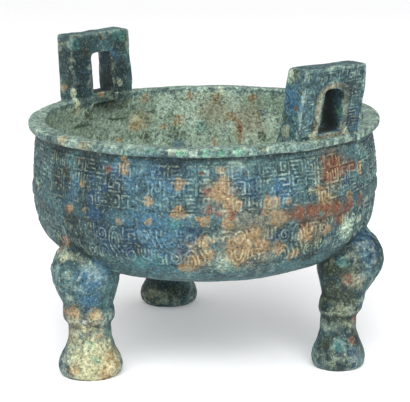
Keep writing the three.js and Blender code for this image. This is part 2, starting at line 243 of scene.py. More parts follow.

# Patches and lumps of corrosion where the photograph shows them:
# pixels across and down in its frame, then the size in pixels (and a lump's height in millimetres)
LUMPS = ((75, 104, 8, 2.4), (76, 115, 5, 1.6), (73, 93, 4, 1.2), (136, 120, 6, 1.4), (220, 93, 6, 2.0))
PATCHES = {
    "olive": (
        (66, 171, 5), (56, 175, 5), (86, 219, 4), (294, 75, 6), (318, 102, 4), (314, 124, 4),
        (263, 138, 7), (262, 147, 5), (145, 138, 8), (178, 134, 8), (342, 270, 9), (328, 268, 9),
        (330, 290, 9), (340, 300, 9), (338, 312, 8), (345, 322, 7), (336, 318, 8), (316, 243, 9),
        (300, 248, 7), (150, 293, 10), (175, 293, 10), (185, 280, 7), (110, 106, 7), (125, 104, 6),
        (90, 115, 8), (105, 80, 6), (355, 270, 4), (84, 52, 6), (112, 62, 6), (68, 84, 5), (98, 140, 5),
        (350, 300, 7), (325, 345, 6), (322, 300, 7), (356, 330, 6), (285, 118, 5), (300, 92, 4),
    ),
    "ochre": (
        (125, 163, 6), (125, 172, 5), (81, 183, 4), (179, 184, 6), (148, 201, 5), (179, 214, 7),
        (70, 208, 5), (84, 209, 3), (119, 222, 5), (149, 222, 5), (204, 221, 6), (206, 242, 7),
        (196, 262, 7), (185, 266, 7), (209, 255, 6), (221, 169, 4), (222, 181, 5), (221, 193, 8),
        (212, 194, 4), (233, 206, 8), (271, 203, 8), (266, 210, 6), (279, 219, 9), (229, 222, 7),
        (290, 201, 4), (251, 235, 9), (240, 247, 13), (239, 258, 10), (261, 247, 8), (280, 248, 7),
        (306, 234, 8), (327, 229, 6), (292, 254, 7), (325, 197, 8), (318, 190, 4), (348, 195, 6),
        (360, 168, 6), (136, 124, 7), (145, 98, 6), (190, 95, 6), (179, 120, 7), (163, 126, 5),
        (118, 141, 6), (215, 97, 6), (253, 99, 6), (239, 129, 5), (237, 121, 5), (240, 138, 5),
        (228, 116, 5), (214, 141, 6), (101, 94, 5), (64, 87, 5), (104, 37, 3), (62, 139, 3), (75, 312, 6),
        (95, 314, 6), (88, 323, 4), (112, 360, 8), (105, 374, 8), (74, 370, 6), (116, 350, 5),
        (100, 335, 4),
    ),
    "rust": (
        (108, 170, 4), (202, 173, 3), (206, 191, 4), (325, 160, 6), (333, 167, 10), (341, 170, 7),
        (329, 175, 7), (353, 164, 6), (301, 212, 5), (313, 211, 5), (326, 210, 6), (338, 208, 5),
        (351, 204, 5), (66, 241, 6), (68, 209, 4), (349, 279, 6), (240, 130, 3), (296, 109, 3),
        (66, 314, 5), (355, 318, 5), (80, 160, 3), (207, 212, 5), (219, 213, 5), (231, 214, 5),
        (353, 340, 5), (102, 318, 4),
    ),
    "azure": (
        (91, 176, 6), (93, 196, 9), (94, 216, 9), (101, 232, 9), (108, 246, 10), (104, 186, 7),
        (130, 236, 9), (126, 250, 8), (156, 170, 7), (188, 234, 9), (184, 249, 7), (283, 236, 6),
        (253, 186, 9), (283, 190, 8), (272, 239, 4), (345, 182, 5), (360, 240, 9), (373, 252, 10),
        (368, 236, 7), (290, 103, 6), (264, 112, 5), (173, 101, 4), (85, 322, 4), (90, 300, 5),
        (352, 352, 6),
    ),
    "teal": (
        (161, 263, 9), (140, 262, 9), (230, 270, 9), (118, 34, 8), (75, 45, 7), (201, 126, 8),
        (225, 140, 7), (363, 155, 5), (362, 180, 4), (322, 214, 4), (342, 262, 6), (338, 345, 6),
        (175, 225, 7), (106, 305, 4),
    ),
    "green": (
        (151, 151, 3), (205, 153, 4), (222, 154, 5), (238, 153, 5), (180, 153, 4), (340, 112, 4),
        (122, 40, 4), (90, 346, 4), (96, 360, 4),
    ),
    "pale": (
        (171, 154, 4), (60, 138, 4), (134, 120, 5), (141, 126, 4), (346, 131, 4), (313, 137, 4),
        (285, 130, 6), (74, 105, 6), (78, 113, 5), (73, 93, 4), (119, 82, 5), (65, 256, 4), (88, 350, 5),
        (359, 218, 5), (366, 200, 5), (312, 190, 4), (221, 94, 5), (38, 185, 4),
    ),
}
# Washes; the pale ones inside the bowl are painted light, and the near black ones in the handles' openings
# are painted shade
WASHES = {
    "light": (
        (347, 226, 12), (225, 265, 10), (235, 170, 10), (290, 75, 8),
    ),
    # Painted light: pale washes that lighten the bowl's inside where it lies in shade
    "painted_inside_light": (
        (165, 105, 12), (195, 108, 22), (228, 110, 24), (250, 128, 18), (270, 120, 14),
    ),
    "blue": (
        (95, 215, 20), (150, 240, 36), (165, 175, 24), (285, 190, 14), (372, 248, 20), (292, 100, 14),
        (352, 350, 16), (235, 180, 14), (100, 270, 12), (330, 90, 16), (352, 120, 12), (88, 300, 10),
        (85, 75, 18), (110, 60, 14), (120, 180, 22), (70, 190, 16), (178, 145, 8), (90, 280, 14),
    ),
    "earth": (
        (250, 242, 32), (222, 195, 18), (332, 170, 20), (330, 207, 18), (312, 232, 16), (195, 255, 18),
        (72, 318, 14), (215, 110, 20), (250, 120, 20), (64, 245, 12), (140, 120, 14), (354, 280, 12),
        (112, 372, 14), (71, 335, 10), (145, 122, 10), (240, 135, 9), (90, 322, 12), (62, 138, 9),
        (82, 146, 9), (352, 285, 8),
    ),
    "brown": (
        (290, 214, 7), (300, 212, 8), (312, 211, 9), (324, 213, 11), (336, 208, 9), (347, 208, 10),
        (360, 200, 7), (305, 222, 7), (340, 218, 8), (334, 165, 12), (328, 176, 8), (348, 166, 7),
    ),
    "cream": (
        (95, 362, 30), (62, 258, 5), (76, 108, 6), (136, 123, 7), (84, 328, 4),
    ),
    "dark": (
        (78, 240, 17), (75, 60, 32), (108, 90, 26), (120, 40, 14), (332, 270, 24), (334, 300, 22),
        (352, 262, 14), (378, 246, 18), (150, 285, 30), (172, 166, 16), (62, 180, 18), (335, 350, 22),
        (355, 345, 16), (310, 256, 9), (90, 200, 20), (96, 225, 18), (88, 168, 16), (100, 205, 16),
        (74, 222, 14), (283, 236, 10), (350, 315, 16), (80, 80, 24), (118, 70, 16), (60, 150, 14),
        (110, 190, 18), (80, 255, 14), (130, 245, 16), (350, 245, 15), (378, 255, 14), (340, 262, 18),
        (345, 335, 18), (336, 352, 16), (355, 338, 12), (326, 300, 16), (352, 296, 14), (340, 365, 12),
        (325, 352, 12), (345, 280, 14), (328, 318, 10), (348, 90, 12), (350, 120, 10),
    ),
    # Painted shade: near black washes where the handles' openings lie in shade
    "painted_loop_shade": ((327, 98, 6), (325, 110, 8), (101, 62, 4), (101, 75, 4)),
}
PATCH_STRENGTH = {
    "olive": 0.75, "ochre": 0.85, "rust": 0.85, "azure": 0.85, "teal": 0.8, "green": 0.8, "pale": 0.8,
}
WASH_STRENGTH = {
    "light": 0.75, "painted_inside_light": 0.75, "blue": 0.85, "earth": 0.55, "brown": 0.85, "cream": 0.7, "dark": 0.85,
}
# How dark the painted shade in the handles' openings is
LOOP_SHADE_STRENGTH = 0.95
PATCH_REACH = 1.5
PATCH_WARP = 2.6
WARP_SIZE = 7.0
WARP_SHIFTS = (11, 13, 17)
HIDDEN_SHARE = 1.3
PATINA_SEED = 5
# The rim is painted pale, as its crust and as a painted highlight, with a further painted highlight on its
# top; the bowl's inside is painted lighter as painted light
RIM_CRUST_AND_PAINTED_HIGHLIGHT = 0.34
RIM_TOP_PAINTED_HIGHLIGHT = 0.12
RIM_FADE = {"below": 1, "above": 3, "top": (-2, -0.6)}
INSIDE_PAINTED_LIGHT = 0.8
# Painted shade under the lip: where it sets in below and above the lip's underside, and how dark it is
PAINTED_LIP_SHADE = {"below": (-4, -0.8), "above": 0.6, "dark": 0.8}
# Painted shade in the handles' openings: where it sets in through their thickness, and how far it reaches
LOOP_SHADE_EDGE = (0.1, 0.62)
LOOP_SHADE_REACH = 0.8
FRAME_OUT = (-6, 20)
FRAME_GAP = 0.5
FRAME_FADE = 1.0
LOOP_BASE_GAP = 0.5
INSIDE_SEEN = (118.0, 132.0)
SEEN_FACING = (-0.35, -0.05)
HIDDEN_FACING = (-0.15, 0.15)
AWAY = -0.1
# Raised lines get pale crust and are made brighter as a painted highlight; sunk places are made darker as
# painted shade
RAISED_CRUST_AND_HIGHLIGHT = (0.1, 0.42)
SUNK_PAINTED_SHADE = (0.08, 0.4)
HIDDEN_LARGEST = 12.0
RELIEF_ROUNDS = 24

# Material: each cloud's size in millimetres, seed and detail, and the levels between which layers set in
CLOUDS = {
    "wide": (24, 1, 2), "middle": (7, 2, 3), "small": (2.6, 3, 3), "grain": (1.1, 4, 2),
    "crumbs": (2.0, 5, 3), "dots": (1.8, 6, 3), "stains": (4, 7, 4),
}
CLOUD_ROUGHNESS = 0.6
MEAN = 0.5
SETS_IN = {
    "body": (0.75, 1.2), "light": (1.0, 1.35), "wash": (0.08, 0.85), "stains": (0.5, 0.66),
    "patch": (0.3, 0.7), "gaps": (0.4, 0.6), "crumbs": (0.53, 0.64), "worn": (0.62, 0.9),
}
SHARE = {
    "light": 0.18, "stains": 0.42, "gaps": 0.55, "crumbs": 0.24, "worn_grain": 0.5, "worn": 0.25,
    "raised": 0.05,
}
WASH_NOISE = {"middle": 2.0, "small": 1.5}
EDGE_CLOUD = {"size": 3.4, "seed": 10, "detail": 4, "noise": 3.2}
# In SPECKLE, raised and sunk set how much brighter raised lines and darker sunk places are made, as painted
# highlight and painted shade
SPECKLE = {
    "small": 1.9, "dots": 2.5, "grain": 2.0, "mean": 1.02, "raised": 0.34, "sunk": 0.32, "least": 0.12,
}
BUMP = {"small": 0.6, "grain": 0.4, "middle": 0.5, "strength": 0.5, "height": 1.1}
ROUGHNESS = {"middle": 0.3, "grain": 0.2, "least": 0.45}
SPECULAR = 0.35
GAMMA = 1.1


def smooth(low, high, value):
    """A smooth step from 0 at low to 1 at high."""
    t = np.clip((value - low) / (high - low), 0.0, 1.0)
    return t * t * (3.0 - 2.0 * t)


def polar(angle, radius):
    """The point of the plan at an angle in degrees and a distance from the bowl's axis."""
    return np.array((radius * math.cos(math.radians(angle)), radius * math.sin(math.radians(angle))))


def wall_radius(height):
    """Outer radius of the plain bowl wall at each height."""
    height = np.asarray(height, float)
    rise = np.clip((height - BELLY_HEIGHT) / (RIM_TOP - LIP_THICKNESS - BELLY_HEIGHT), 0, 1)
    drop = np.clip((BELLY_HEIGHT - height) / (BELLY_HEIGHT - BOTTOM_HEIGHT), 0, 1)
    neck = BELLY_RADIUS - (BELLY_RADIUS - NECK_RADIUS) * rise**NECK_CURVE
    bottom = BELLY_RADIUS * (1 - drop**BOTTOM_SQUARENESS) ** (1 / BOTTOM_SQUARENESS)
    return np.where(height >= BELLY_HEIGHT, neck, bottom)


def bottom_point(turn, inset):
    """Radius and height on the squared-off bottom curve, from the axis (turn 0) to the belly (turn 1)."""
    angle = (1 - turn) * math.pi / 2
    power = 2 / BOTTOM_SQUARENESS
    radius = (BELLY_RADIUS - inset) * math.cos(angle) ** power
    height = BELLY_HEIGHT - (BELLY_HEIGHT - BOTTOM_HEIGHT - inset) * math.sin(angle) ** power
    return (0.0 if turn == 0 else radius, height)


# Strokes of the relief, as lists of points in units of the pattern
def round_coil(x, y, radius, turns, start=0.0):
    """A round spiral that winds into its centre."""
    count = round(turns * CURVE_STEPS)
    points = []
    for i in range(count + 1):
        angle = start + 2 * math.pi * turns * i / count
        reach = radius * (1 - COIL_INWARDS * i / count)
        points.append((x + reach * math.cos(angle), y + reach * math.sin(angle)))
    return points


def arch(x, y, across, up):
    """A half ellipse over (or, with a negative rise, under) its centre."""
    angles = [math.pi * i / CURVE_STEPS for i in range(CURVE_STEPS + 1)]
    return [(x - across * math.cos(a), y + up * math.sin(a)) for a in angles]


# Motifs of the interlace, each three units wide and high about the middle of its cell
MOTIFS = {
    "c": [[(-1.5, -1.5), (1.5, -1.5), (1.5, 1.5), (-0.6, 1.5), (-0.6, -0.4), (0.5, -0.4), (0.5, 0.5)]],
    "h": [
        [(-1.5, -1.8), (-1.5, 1.5), (1.5, 1.5), (1.5, -1)],
        [(-0.5, -1.8), (-0.5, 0.5), (0.5, 0.5), (0.5, -1.5)],
    ],
    "t": [
        [(-1.9, 1.5), (1.9, 1.5)],
        [(0, 1.5), (0, -0.4)],
        [(-1.5, 0.3), (-1.5, -1.5), (1.5, -1.5), (1.5, 0.3)],
    ],
    "s": [
        [(-1.5, -1.5), (0.5, -1.5), (0.5, 0), (-0.5, 0), (-0.5, 1.5), (1.9, 1.5)],
        [(1.5, -1.9), (1.5, 0.5)],
        [(-1.5, -0.5), (-1.5, 1.5)],
    ],
    "o": [round_coil(0, 0, 1.6, 1.7), [(-1.9, -1.7), (-1.4, -1.9)], [(1.7, 1.7), (1.9, 1)]],
    "a": [arch(0, -1.4, 1.9, 3.1), arch(0, -1.4, 1.0, 2.0), [(0, -1.4), (0, -0.6)]],
    "v": [
        [(-1.8, 1.7), (-0.6, -0.2), (-0.6, -1.8)],
        [(-0.5, 1.7), (0.6, 0), (0.6, -1.8)],
        [(0.8, 1.7), (1.7, 0.4)],
    ],
}
# Each cell names its motif and how many quarter turns it has made
UPPER_LAYOUT = ("c0 t2 h0 s0 c3 h1", "s1 c1 t1 h2 s0 t3", "h3 s0 c2 t0 h1 c0")
LOWER_LAYOUT = ("v0 o1 a2 s0 o3 a0", "a0 s1 o0 v2 h2 o2")


def cell_strokes(layout, across, up):
    """The strokes of a layout of motifs, whose cells are so many units across and up."""
    strokes = []
    for row, names in enumerate(layout):
        for column, (kind, turns) in enumerate(names.split()):
            angle = int(turns) * math.pi / 2
            cos, sin = math.cos(angle), math.sin(angle)
            x, y = across * (column + 0.5), up * (row + 0.5)
            wide, high = across / MOTIF_CELL, up / MOTIF_CELL
            for stroke in MOTIFS[kind]:
                strokes.append([
                    (x + wide * (u * cos - v * sin), y + high * (u * sin + v * cos)) for u, v in stroke
                ])
    return strokes


def upper_strokes():
    """The upper band's block: three rows of squared hooks and coils."""
    return cell_strokes(UPPER_LAYOUT, UNITS_ALONG / CELLS_ALONG, UPPER_UNITS / len(UPPER_LAYOUT))


def lower_strokes():
    """The lower band's block: two rows in which arches and round coils are mixed with the hooks."""
    return cell_strokes(LOWER_LAYOUT, UNITS_ALONG / CELLS_ALONG, LOWER_UNITS / len(LOWER_LAYOUT))


def square_body():
    """The upper band's wide body: a squared S that fills its block."""
    path = [*SQUARE_BODY, *[(-x, -y) for x, y in reversed(SQUARE_BODY)]]
    return [[(UNITS_ALONG / 2 * (1 + x), UPPER_UNITS / 2 * (1 + y)) for x, y in path]]


def arched_body():
    """The lower band's wide body: one arch up and one down, side by side."""
    radius = ARCHED_BODY["radius"] * UNITS_ALONG / 2
    reach = ARCHED_BODY["reach"] * LOWER_UNITS / 2
    x, y = UNITS_ALONG / 2, LOWER_UNITS / 2
    return [arch(x - radius, y, radius, reach), arch(x + radius, y, radius, -reach)]


def ridges(x, y, strokes, width, slope):
    """Height from 0 to 1 of ridges of a width along strokes, at points with the coordinates x and y."""
    nearest = np.full(np.shape(x), np.inf)
    for stroke in strokes:
        for (ax, ay), (bx, by) in zip(stroke, stroke[1:]):
            dx, dy = bx - ax, by - ay
            length = max(dx * dx + dy * dy, 1e-9)
            t = np.clip(((x - ax) * dx + (y - ay) * dy) / length, 0, 1)
            nearest = np.minimum(nearest, np.hypot(x - ax - t * dx, y - ay - t * dy))
    return 1 - smooth(width / 2, width / 2 + slope, nearest)


def bowl_relief(angle, height, sizes):
    """Height of the relief above the bowl's ground, at angles in degrees and heights in millimetres."""
    block_angle = 360 / BLOCK_COUNT
    along = np.mod(angle + block_angle / 2, block_angle) / block_angle * UNITS_ALONG
    total = np.zeros(np.shape(angle))
    for band, units, strokes, body in (
        (UPPER_BAND, UPPER_UNITS, upper_strokes(), square_body()),
        (LOWER_BAND, LOWER_UNITS, lower_strokes(), arched_body()),
    ):
        up = (height - band[0]) / (band[1] - band[0]) * units
        inside = (up > BAND_MARGIN) & (up < units - BAND_MARGIN)
        for shift in (-UNITS_ALONG, 0, UNITS_ALONG):
            near = inside & (np.abs(along + shift - UNITS_ALONG / 2) < UNITS_ALONG / 2 + OVERHANG)
            hooks = ridges(along[near] + shift, up[near], strokes, sizes.line_width / MM / UNIT, HOOK_SLOPE)
            wide = ridges(along[near] + shift, up[near], body, BODY_WIDTH / UNIT, BODY_SLOPE)
            total[near] = np.maximum(total[near], hooks + wide * BODY_SHARE)
    return total


# Nodes
class Value:
    """A node's output that calculates with Python's operators."""

    def __init__(self, wiring, socket):
        self.wiring = wiring
        self.socket = socket

    def calculate(self, operation, first, second):
        return self.wiring.make("ShaderNodeMath", {"operation": operation}, {0: first, 1: second})

    def __add__(self, other):
        return self.calculate("ADD", self, other)

    def __sub__(self, other):
        return self.calculate("SUBTRACT", self, other)

    def __mul__(self, other):
        return self.calculate("MULTIPLY", self, other)

    def largest(self, other):
        return self.calculate("MAXIMUM", self, other)


class Wiring:
    """Makes the nodes of a tree and links them."""

    def __init__(self, tree):
        self.tree = tree

    def make(self, kind, settings=None, inputs=None, output=0):
        """A node of a type with its settings, and with values or links in its sockets."""
        node = self.tree.nodes.new(kind)
        for name, setting in (settings or {}).items():
            setattr(node, name, setting)
        for key, value in (inputs or {}).items():
            if isinstance(value, Value):
                self.tree.links.new(value.socket, node.inputs[key])
            else:
                node.inputs[key].default_value = value
        return node if output is None else Value(self, node.outputs[output])

    def mix(self, factor, first, second, blend="MIX"):
        """A mix of two colours."""
        settings = {"data_type": "RGBA", "blend_type": blend}
        return self.make("ShaderNodeMix", settings, {0: factor, 6: first, 7: second}, 2)

    def cloud(self, place, size, seed, detail):
        """Noise from about 0.25 to 0.75, with lumps of a size in millimetres."""
        inputs = {"Vector": place, "W": seed, "Scale": 1 / (size * MM), "Detail": detail}
        inputs["Roughness"] = CLOUD_ROUGHNESS
        return self.make("ShaderNodeTexNoise", {"noise_dimensions": "4D"}, inputs)

    def step(self, value, low, high):
        """A smooth step from 0 at low to 1 at high."""
        inputs = {"Value": value, "From Min": low, "From Max": high}
        return self.make("ShaderNodeMapRange", {"interpolation_type": "SMOOTHSTEP"}, inputs)

    def attribute(self, name):
        """A value stored on the mesh's points."""
        return self.make("ShaderNodeAttribute", {"attribute_name": name}, {}, "Fac")


# Meshes
def triangles(mesh):
    """The triangles that a mesh's faces are made of."""
    mesh.calc_loop_triangles()
    return mesh.loop_triangles


def outwards(piece):
    """Turns a closed mesh the right way out."""
    volume = 0
    for triangle in triangles(piece.data):
        first, second, third = (piece.data.vertices[i].co for i in triangle.vertices)
        volume += first.cross(second).dot(third)
    if volume < 0:
        piece.data.flip_normals()
    return piece


def mesh_object(name, points, faces):
    """An object with a mesh from points in millimetres."""
    mesh = bpy.data.meshes.new(name)
    mesh.from_pydata((np.asarray(points) * MM).tolist(), [], faces)
    mesh.validate()
    piece = bpy.data.objects.new(name, mesh)
    bpy.context.scene.collection.objects.link(piece)
    return piece


def grid_faces(rows, columns, closed):
    """Quads between the points of a grid that is stored row by row."""
    across = columns if closed else columns - 1
    i, j = np.meshgrid(np.arange(rows - 1), np.arange(across), indexing="ij")
    k = (j + 1) % columns
    quads = np.stack((i * columns + j, i * columns + k, (i + 1) * columns + k, (i + 1) * columns + j), -1)
    return quads.reshape(-1, 4).tolist()


def strip_faces(rings):
    """Quads between closed rings of point numbers."""
    faces = []
    for first, second in zip(rings, rings[1:]):
        faces += zip(np.roll(first, -1).tolist(), first, second, np.roll(second, -1).tolist())
    return faces


def end_faces(rows, columns):
    """Triangles that close the first and last rows of a grid round two points that follow its own points."""
    bottom, last = rows * columns, (rows - 1) * columns
    faces = []
    for j in range(columns):
        k = (j + 1) % columns
        faces.append((bottom, k, j))
        faces.append((bottom + 1, last + j, last + k))
    return faces


def dense(outline):
    """A closed outline with points added, so that no side is longer than it may be."""
    result = []
    for first, second in zip(outline, outline[1:] + outline[:1]):
        count = max(1, math.ceil(math.dist(first, second) / LONGEST_SIDE))
        for i in range(count):
            result.append([a + (b - a) * i / count for a, b in zip(first, second)])
    return np.array(result)


def prism(name, first, second, steps):
    """A solid between two ends with the same number of points, in steps from end to end."""
    count = len(first)
    points = np.vstack([first + (second - first) * k / steps for k in range(steps + 1)])
    rings = [list(range(k * count, (k + 1) * count)) for k in range(steps + 1)]
    return outwards(mesh_object(name, points, [rings[0], rings[-1][::-1], *strip_faces(rings)]))


def baked(piece):
    """Turns what an object's modifiers make into its own mesh."""
    graph = bpy.context.evaluated_depsgraph_get()
    made = bpy.data.meshes.new_from_object(piece.evaluated_get(graph))
    old = piece.data
    piece.modifiers.clear()
    piece.data = made
    bpy.data.meshes.remove(old)
    return piece


def combine(piece, operation, other):
    """Joins another solid to a piece or cuts it away, and removes that solid."""
    step = piece.modifiers.new(operation.lower(), "BOOLEAN")
    step.operation = operation
    step.solver = "MANIFOLD"
    step.object = other
    baked(piece)
    bpy.data.meshes.remove(other.data)
    return piece


def turned(name, profile):
    """A solid of revolution from radius and height pairs that start and end on the axis."""
    angles = np.arange(SEGMENTS) * 2 * math.pi / SEGMENTS
    rows = np.array(profile[1:-1])
    x = rows[:, :1] * np.cos(angles)
    y = rows[:, :1] * np.sin(angles)
    z = np.repeat(rows[:, 1:], SEGMENTS, 1)
    points = np.stack((x, y, z), -1).reshape(-1, 3)
    faces = grid_faces(len(rows), SEGMENTS, True) + end_faces(len(rows), SEGMENTS)
    ends = [(0, 0, profile[0][1]), (0, 0, profile[-1][1])]
    return mesh_object(name, np.vstack((points, ends)), faces)


# Bowl
def band_rows(band, units):
    """Heights of the rows of points in a band."""
    steps = units * STEPS_PER_UNIT
    return [band[0] + (band[1] - band[0]) * i / steps for i in range(steps + 1)]


def quarter(radius, height, across, up, steps=range(QUARTER_STEPS + 1)):
    """Radius and height of points on a quarter of an ellipse, from beside its centre to above or below it."""
    angles = [math.pi / 2 * i / QUARTER_STEPS for i in steps]
    return [(radius + across * math.cos(a), height + up * math.sin(a)) for a in angles]


def outside_profile():
    """Radius and height of each row of the bowl's outside, from the bottom to the middle of its top."""
    profile = [bottom_point(turn, 0) for turn in (0, *np.linspace(*BOTTOM_TURNS))]
    for band, units in ((LOWER_BAND, LOWER_UNITS), (UPPER_BAND, UPPER_UNITS)):
        low, high = band[0] - EDGE_SLOPE, band[1] + EDGE_SLOPE
        profile.append((float(wall_radius(low)), low))
        profile += [(float(wall_radius(z)) - GROUND_DEPTH, z) for z in band_rows(band, units)]
        profile.append((float(wall_radius(high)), high))
        if band is LOWER_BAND:
            belt = float(wall_radius(sum(BELT) / 2)) + BELT_PROUD
            edge = belt - BELT_EDGE_DROP
            profile += [(edge, BELT[0] + EDGE_SLOPE), (belt, BELT[0] + 2 * EDGE_SLOPE)]
            profile += [(belt, BELT[1] - 2 * EDGE_SLOPE), (edge, BELT[1] - EDGE_SLOPE)]
    under = RIM_TOP - LIP_THICKNESS
    profile += [(NECK_RADIUS + out, under + up) for out, up in LIP_ROOT]
    bottom = under + LIP_ROOT[-1][1] + LIP_ROUNDING
    profile += quarter(RIM_RADIUS - LIP_ROUNDING, bottom, LIP_ROUNDING, -LIP_ROUNDING)[::-1]
    profile += quarter(RIM_RADIUS - 2 * LIP_ROUNDING, RIM_TOP - LIP_ROUNDING, 2 * LIP_ROUNDING, LIP_ROUNDING)
    return [*profile, (RIM_RADIUS - RIM_FLAT, RIM_TOP), (0.0, RIM_TOP)]


def bowl_block(sizes):
    """One block of the bowl's outside with its relief: a wedge from the bottom to the rim's middle."""
    columns = UNITS_ALONG * STEPS_PER_UNIT + 1
    profile = np.array(outside_profile())
    half = 180 / BLOCK_COUNT
    angle, radius = np.meshgrid(np.linspace(-half, half, columns), profile[:, 0])
    height = np.repeat(profile[:, 1:], columns, 1)
    radius = radius + bowl_relief(angle, height, sizes) * sizes.relief_height / MM
    turn = np.radians(angle)
    points = np.stack((radius * np.cos(turn), radius * np.sin(turn), height), -1).reshape(-1, 3)
    return mesh_object("bowl", points, grid_faces(len(profile), columns, False))


def ring_tree():
    """Geometry Nodes that repeat a wedge round the Z axis and join the copies into one closed mesh."""
    tree = bpy.data.node_groups.new("ring_of_blocks", "GeometryNodeTree")
    tree.is_modifier = True
    sockets = (("Block", "Geometry"), ("Count", "Int"), ("Join Distance", "Float"), ("Material", "Material"))
    for name, kind in sockets:
        tree.interface.new_socket(name, in_out="INPUT", socket_type="NodeSocket" + kind)
    tree.interface.new_socket("Ring", in_out="OUTPUT", socket_type="NodeSocketGeometry")
    nodes = Wiring(tree)
    given = {name: nodes.make("NodeGroupInput", output=name) for name, kind in sockets}
    step = nodes.make("ShaderNodeMath", {"operation": "DIVIDE"}, {0: 2 * math.pi, 1: given["Count"]})
    turn = nodes.make("ShaderNodeCombineXYZ", {}, {"Z": nodes.make("GeometryNodeInputIndex") * step})
    line = nodes.make("GeometryNodeMeshLine", {}, {"Count": given["Count"], "Offset": (0, 0, 0)})
    placed = {"Points": line, "Instance": given["Block"], "Rotation": turn}
    copies = nodes.make("GeometryNodeInstanceOnPoints", {}, placed)
    real = nodes.make("GeometryNodeRealizeInstances", {}, {0: copies})
    joined = {"Geometry": real, "Distance": given["Join Distance"]}
    merged = nodes.make("GeometryNodeMergeByDistance", {}, joined)
    ring = nodes.make("GeometryNodeSetMaterial", {}, {"Geometry": merged, "Material": given["Material"]})
    nodes.make("NodeGroupOutput", {}, {"Ring": ring}, None)
    return tree


def set_input(modifier, name, value):
    """Sets a Geometry Nodes modifier's input by its socket's identifier."""
    for item in modifier.node_group.interface.items_tree:
        if item.item_type == "SOCKET" and item.in_out == "INPUT" and item.name == name:
            modifier[item.identifier] = value


def bowl_cavity():
    """The hollow of the bowl, as a solid to cut away."""
    profile = [bottom_point(turn, WALL) for turn in (0, *np.linspace(*CAVITY["turns"]))]
    neck = RIM_TOP - 2 * LIP_THICKNESS
    for z in np.linspace(BELLY_HEIGHT, neck, CAVITY["neck_rows"])[1:]:
        taper = CAVITY["neck_taper"] * (z - BELLY_HEIGHT) / (neck - BELLY_HEIGHT)
        profile.append((float(wall_radius(z)) - WALL - taper, z))
    profile += [(MOUTH_RADIUS + CAVITY["lip_taper"], neck + CAVITY["lip_rise"])]
    inner = MOUTH_RADIUS + LIP_ROUNDING
    profile += quarter(inner, RIM_TOP - LIP_ROUNDING, -LIP_ROUNDING, LIP_ROUNDING, range(QUARTER_STEPS))
    return turned("cavity", [*profile, (inner, RIM_TOP + 1), (0, RIM_TOP + 1)])


# Legs
def leg_half_width(height):
    """Half width of a leg at each height, rounded off between the levels of its profile."""
    levels, widths = np.array(LEG_PROFILE, float).T
    shifts = (-1, -0.5, 0, 0.5, 1)
    return sum(np.interp(height + shift * LEG_BLEND, levels, widths) for shift in shifts) / len(shifts)


def leg_axis(leg, height):
    """Place of a leg's axis at each height: the foot stands apart from the knee."""
    rise = smooth(ANKLE_HEIGHT, KNEE_HEIGHT, height)[..., None]
    return polar(*leg["foot"]) * (1 - rise) + polar(*leg["knee"]) * rise


def leg_section(leg, height):
    """How slim and how flat the leg is at each height, against its full round width."""
    slim = leg["girth"] + (1 - leg["girth"]) * smooth(*GIRTH_BLEND, height)
    flat = 1 + (KNEE_FLATTENING - 1) * smooth(ANKLE_HEIGHT, KNEE_HEIGHT, height)
    return slim, flat


def leg_points(leg, height, out, across):
    """Points given out of and across a leg's axis at heights, at their place on the vessel."""
    turn = math.radians(leg["knee"][0])
    axis = leg_axis(leg, height)
    x = axis[..., 0] + out * math.cos(turn) - across * math.sin(turn)
    y = axis[..., 1] + out * math.sin(turn) + across * math.cos(turn)
    return np.stack((x, y, height), -1)


def mask_strokes():
    """The strokes of the mask on both sides of the nose."""
    one_side = [round_coil(*coil) for coil in MASK_COILS] + list(MASK_LINES)
    return [[(side * x, z) for x, z in stroke] for side in (-1, 1) for stroke in one_side]


def knee_relief(across, height):
    """Height from 0 to 1 of the mask's lines, at distances round the knee and heights above the ground."""
    total = np.zeros(np.shape(across))
    near = (np.abs(across) < MASK_REACH) & (height > MASK_HEIGHTS[0]) & (height < MASK_HEIGHTS[1])
    total[near] = ridges(across[near], height[near], mask_strokes(), MASK_LINE, MASK_SLOPE)
    return total


def leg_solid(name, leg, sizes):
    """One leg with its hoof, ankle ring and masked knee, as a closed solid."""
    levels = np.concatenate(([0], np.linspace(FIRST_ROW, LEG_TOP, LEG_ROWS)))
    height, turn = np.meshgrid(levels, np.arange(LEG_SIDES) * 2 * math.pi / LEG_SIDES, indexing="ij")
    slim, flat = leg_section(leg, height)
    half = leg_half_width(height) * slim
    half -= SOLE_ROUNDING * (1 - smooth(0, SOLE_HEIGHT, height))
    across = (np.mod(turn + math.pi, 2 * math.pi) - math.pi) * KNEE_HALF_WIDTH
    aside, above = np.abs(across) - MASK_EYE["across"], height - MASK_EYE["height"]
    eye = MASK_EYE["proud"] * np.sqrt(np.clip(1 - (aside**2 + above**2) / MASK_EYE["radius"] ** 2, 0, 1))
    half = half + leg["mask"] * (knee_relief(across, height) * sizes.relief_height / MM + eye)
    points = leg_points(leg, height, half * np.cos(turn) * flat, half * np.sin(turn)).reshape(-1, 3)
    ends = leg_points(leg, np.array((0.0, LEG_TOP)), 0, 0)
    faces = grid_faces(len(levels), LEG_SIDES, True) + end_faces(len(levels), LEG_SIDES)
    return mesh_object(name, np.vstack((points, ends)), faces)


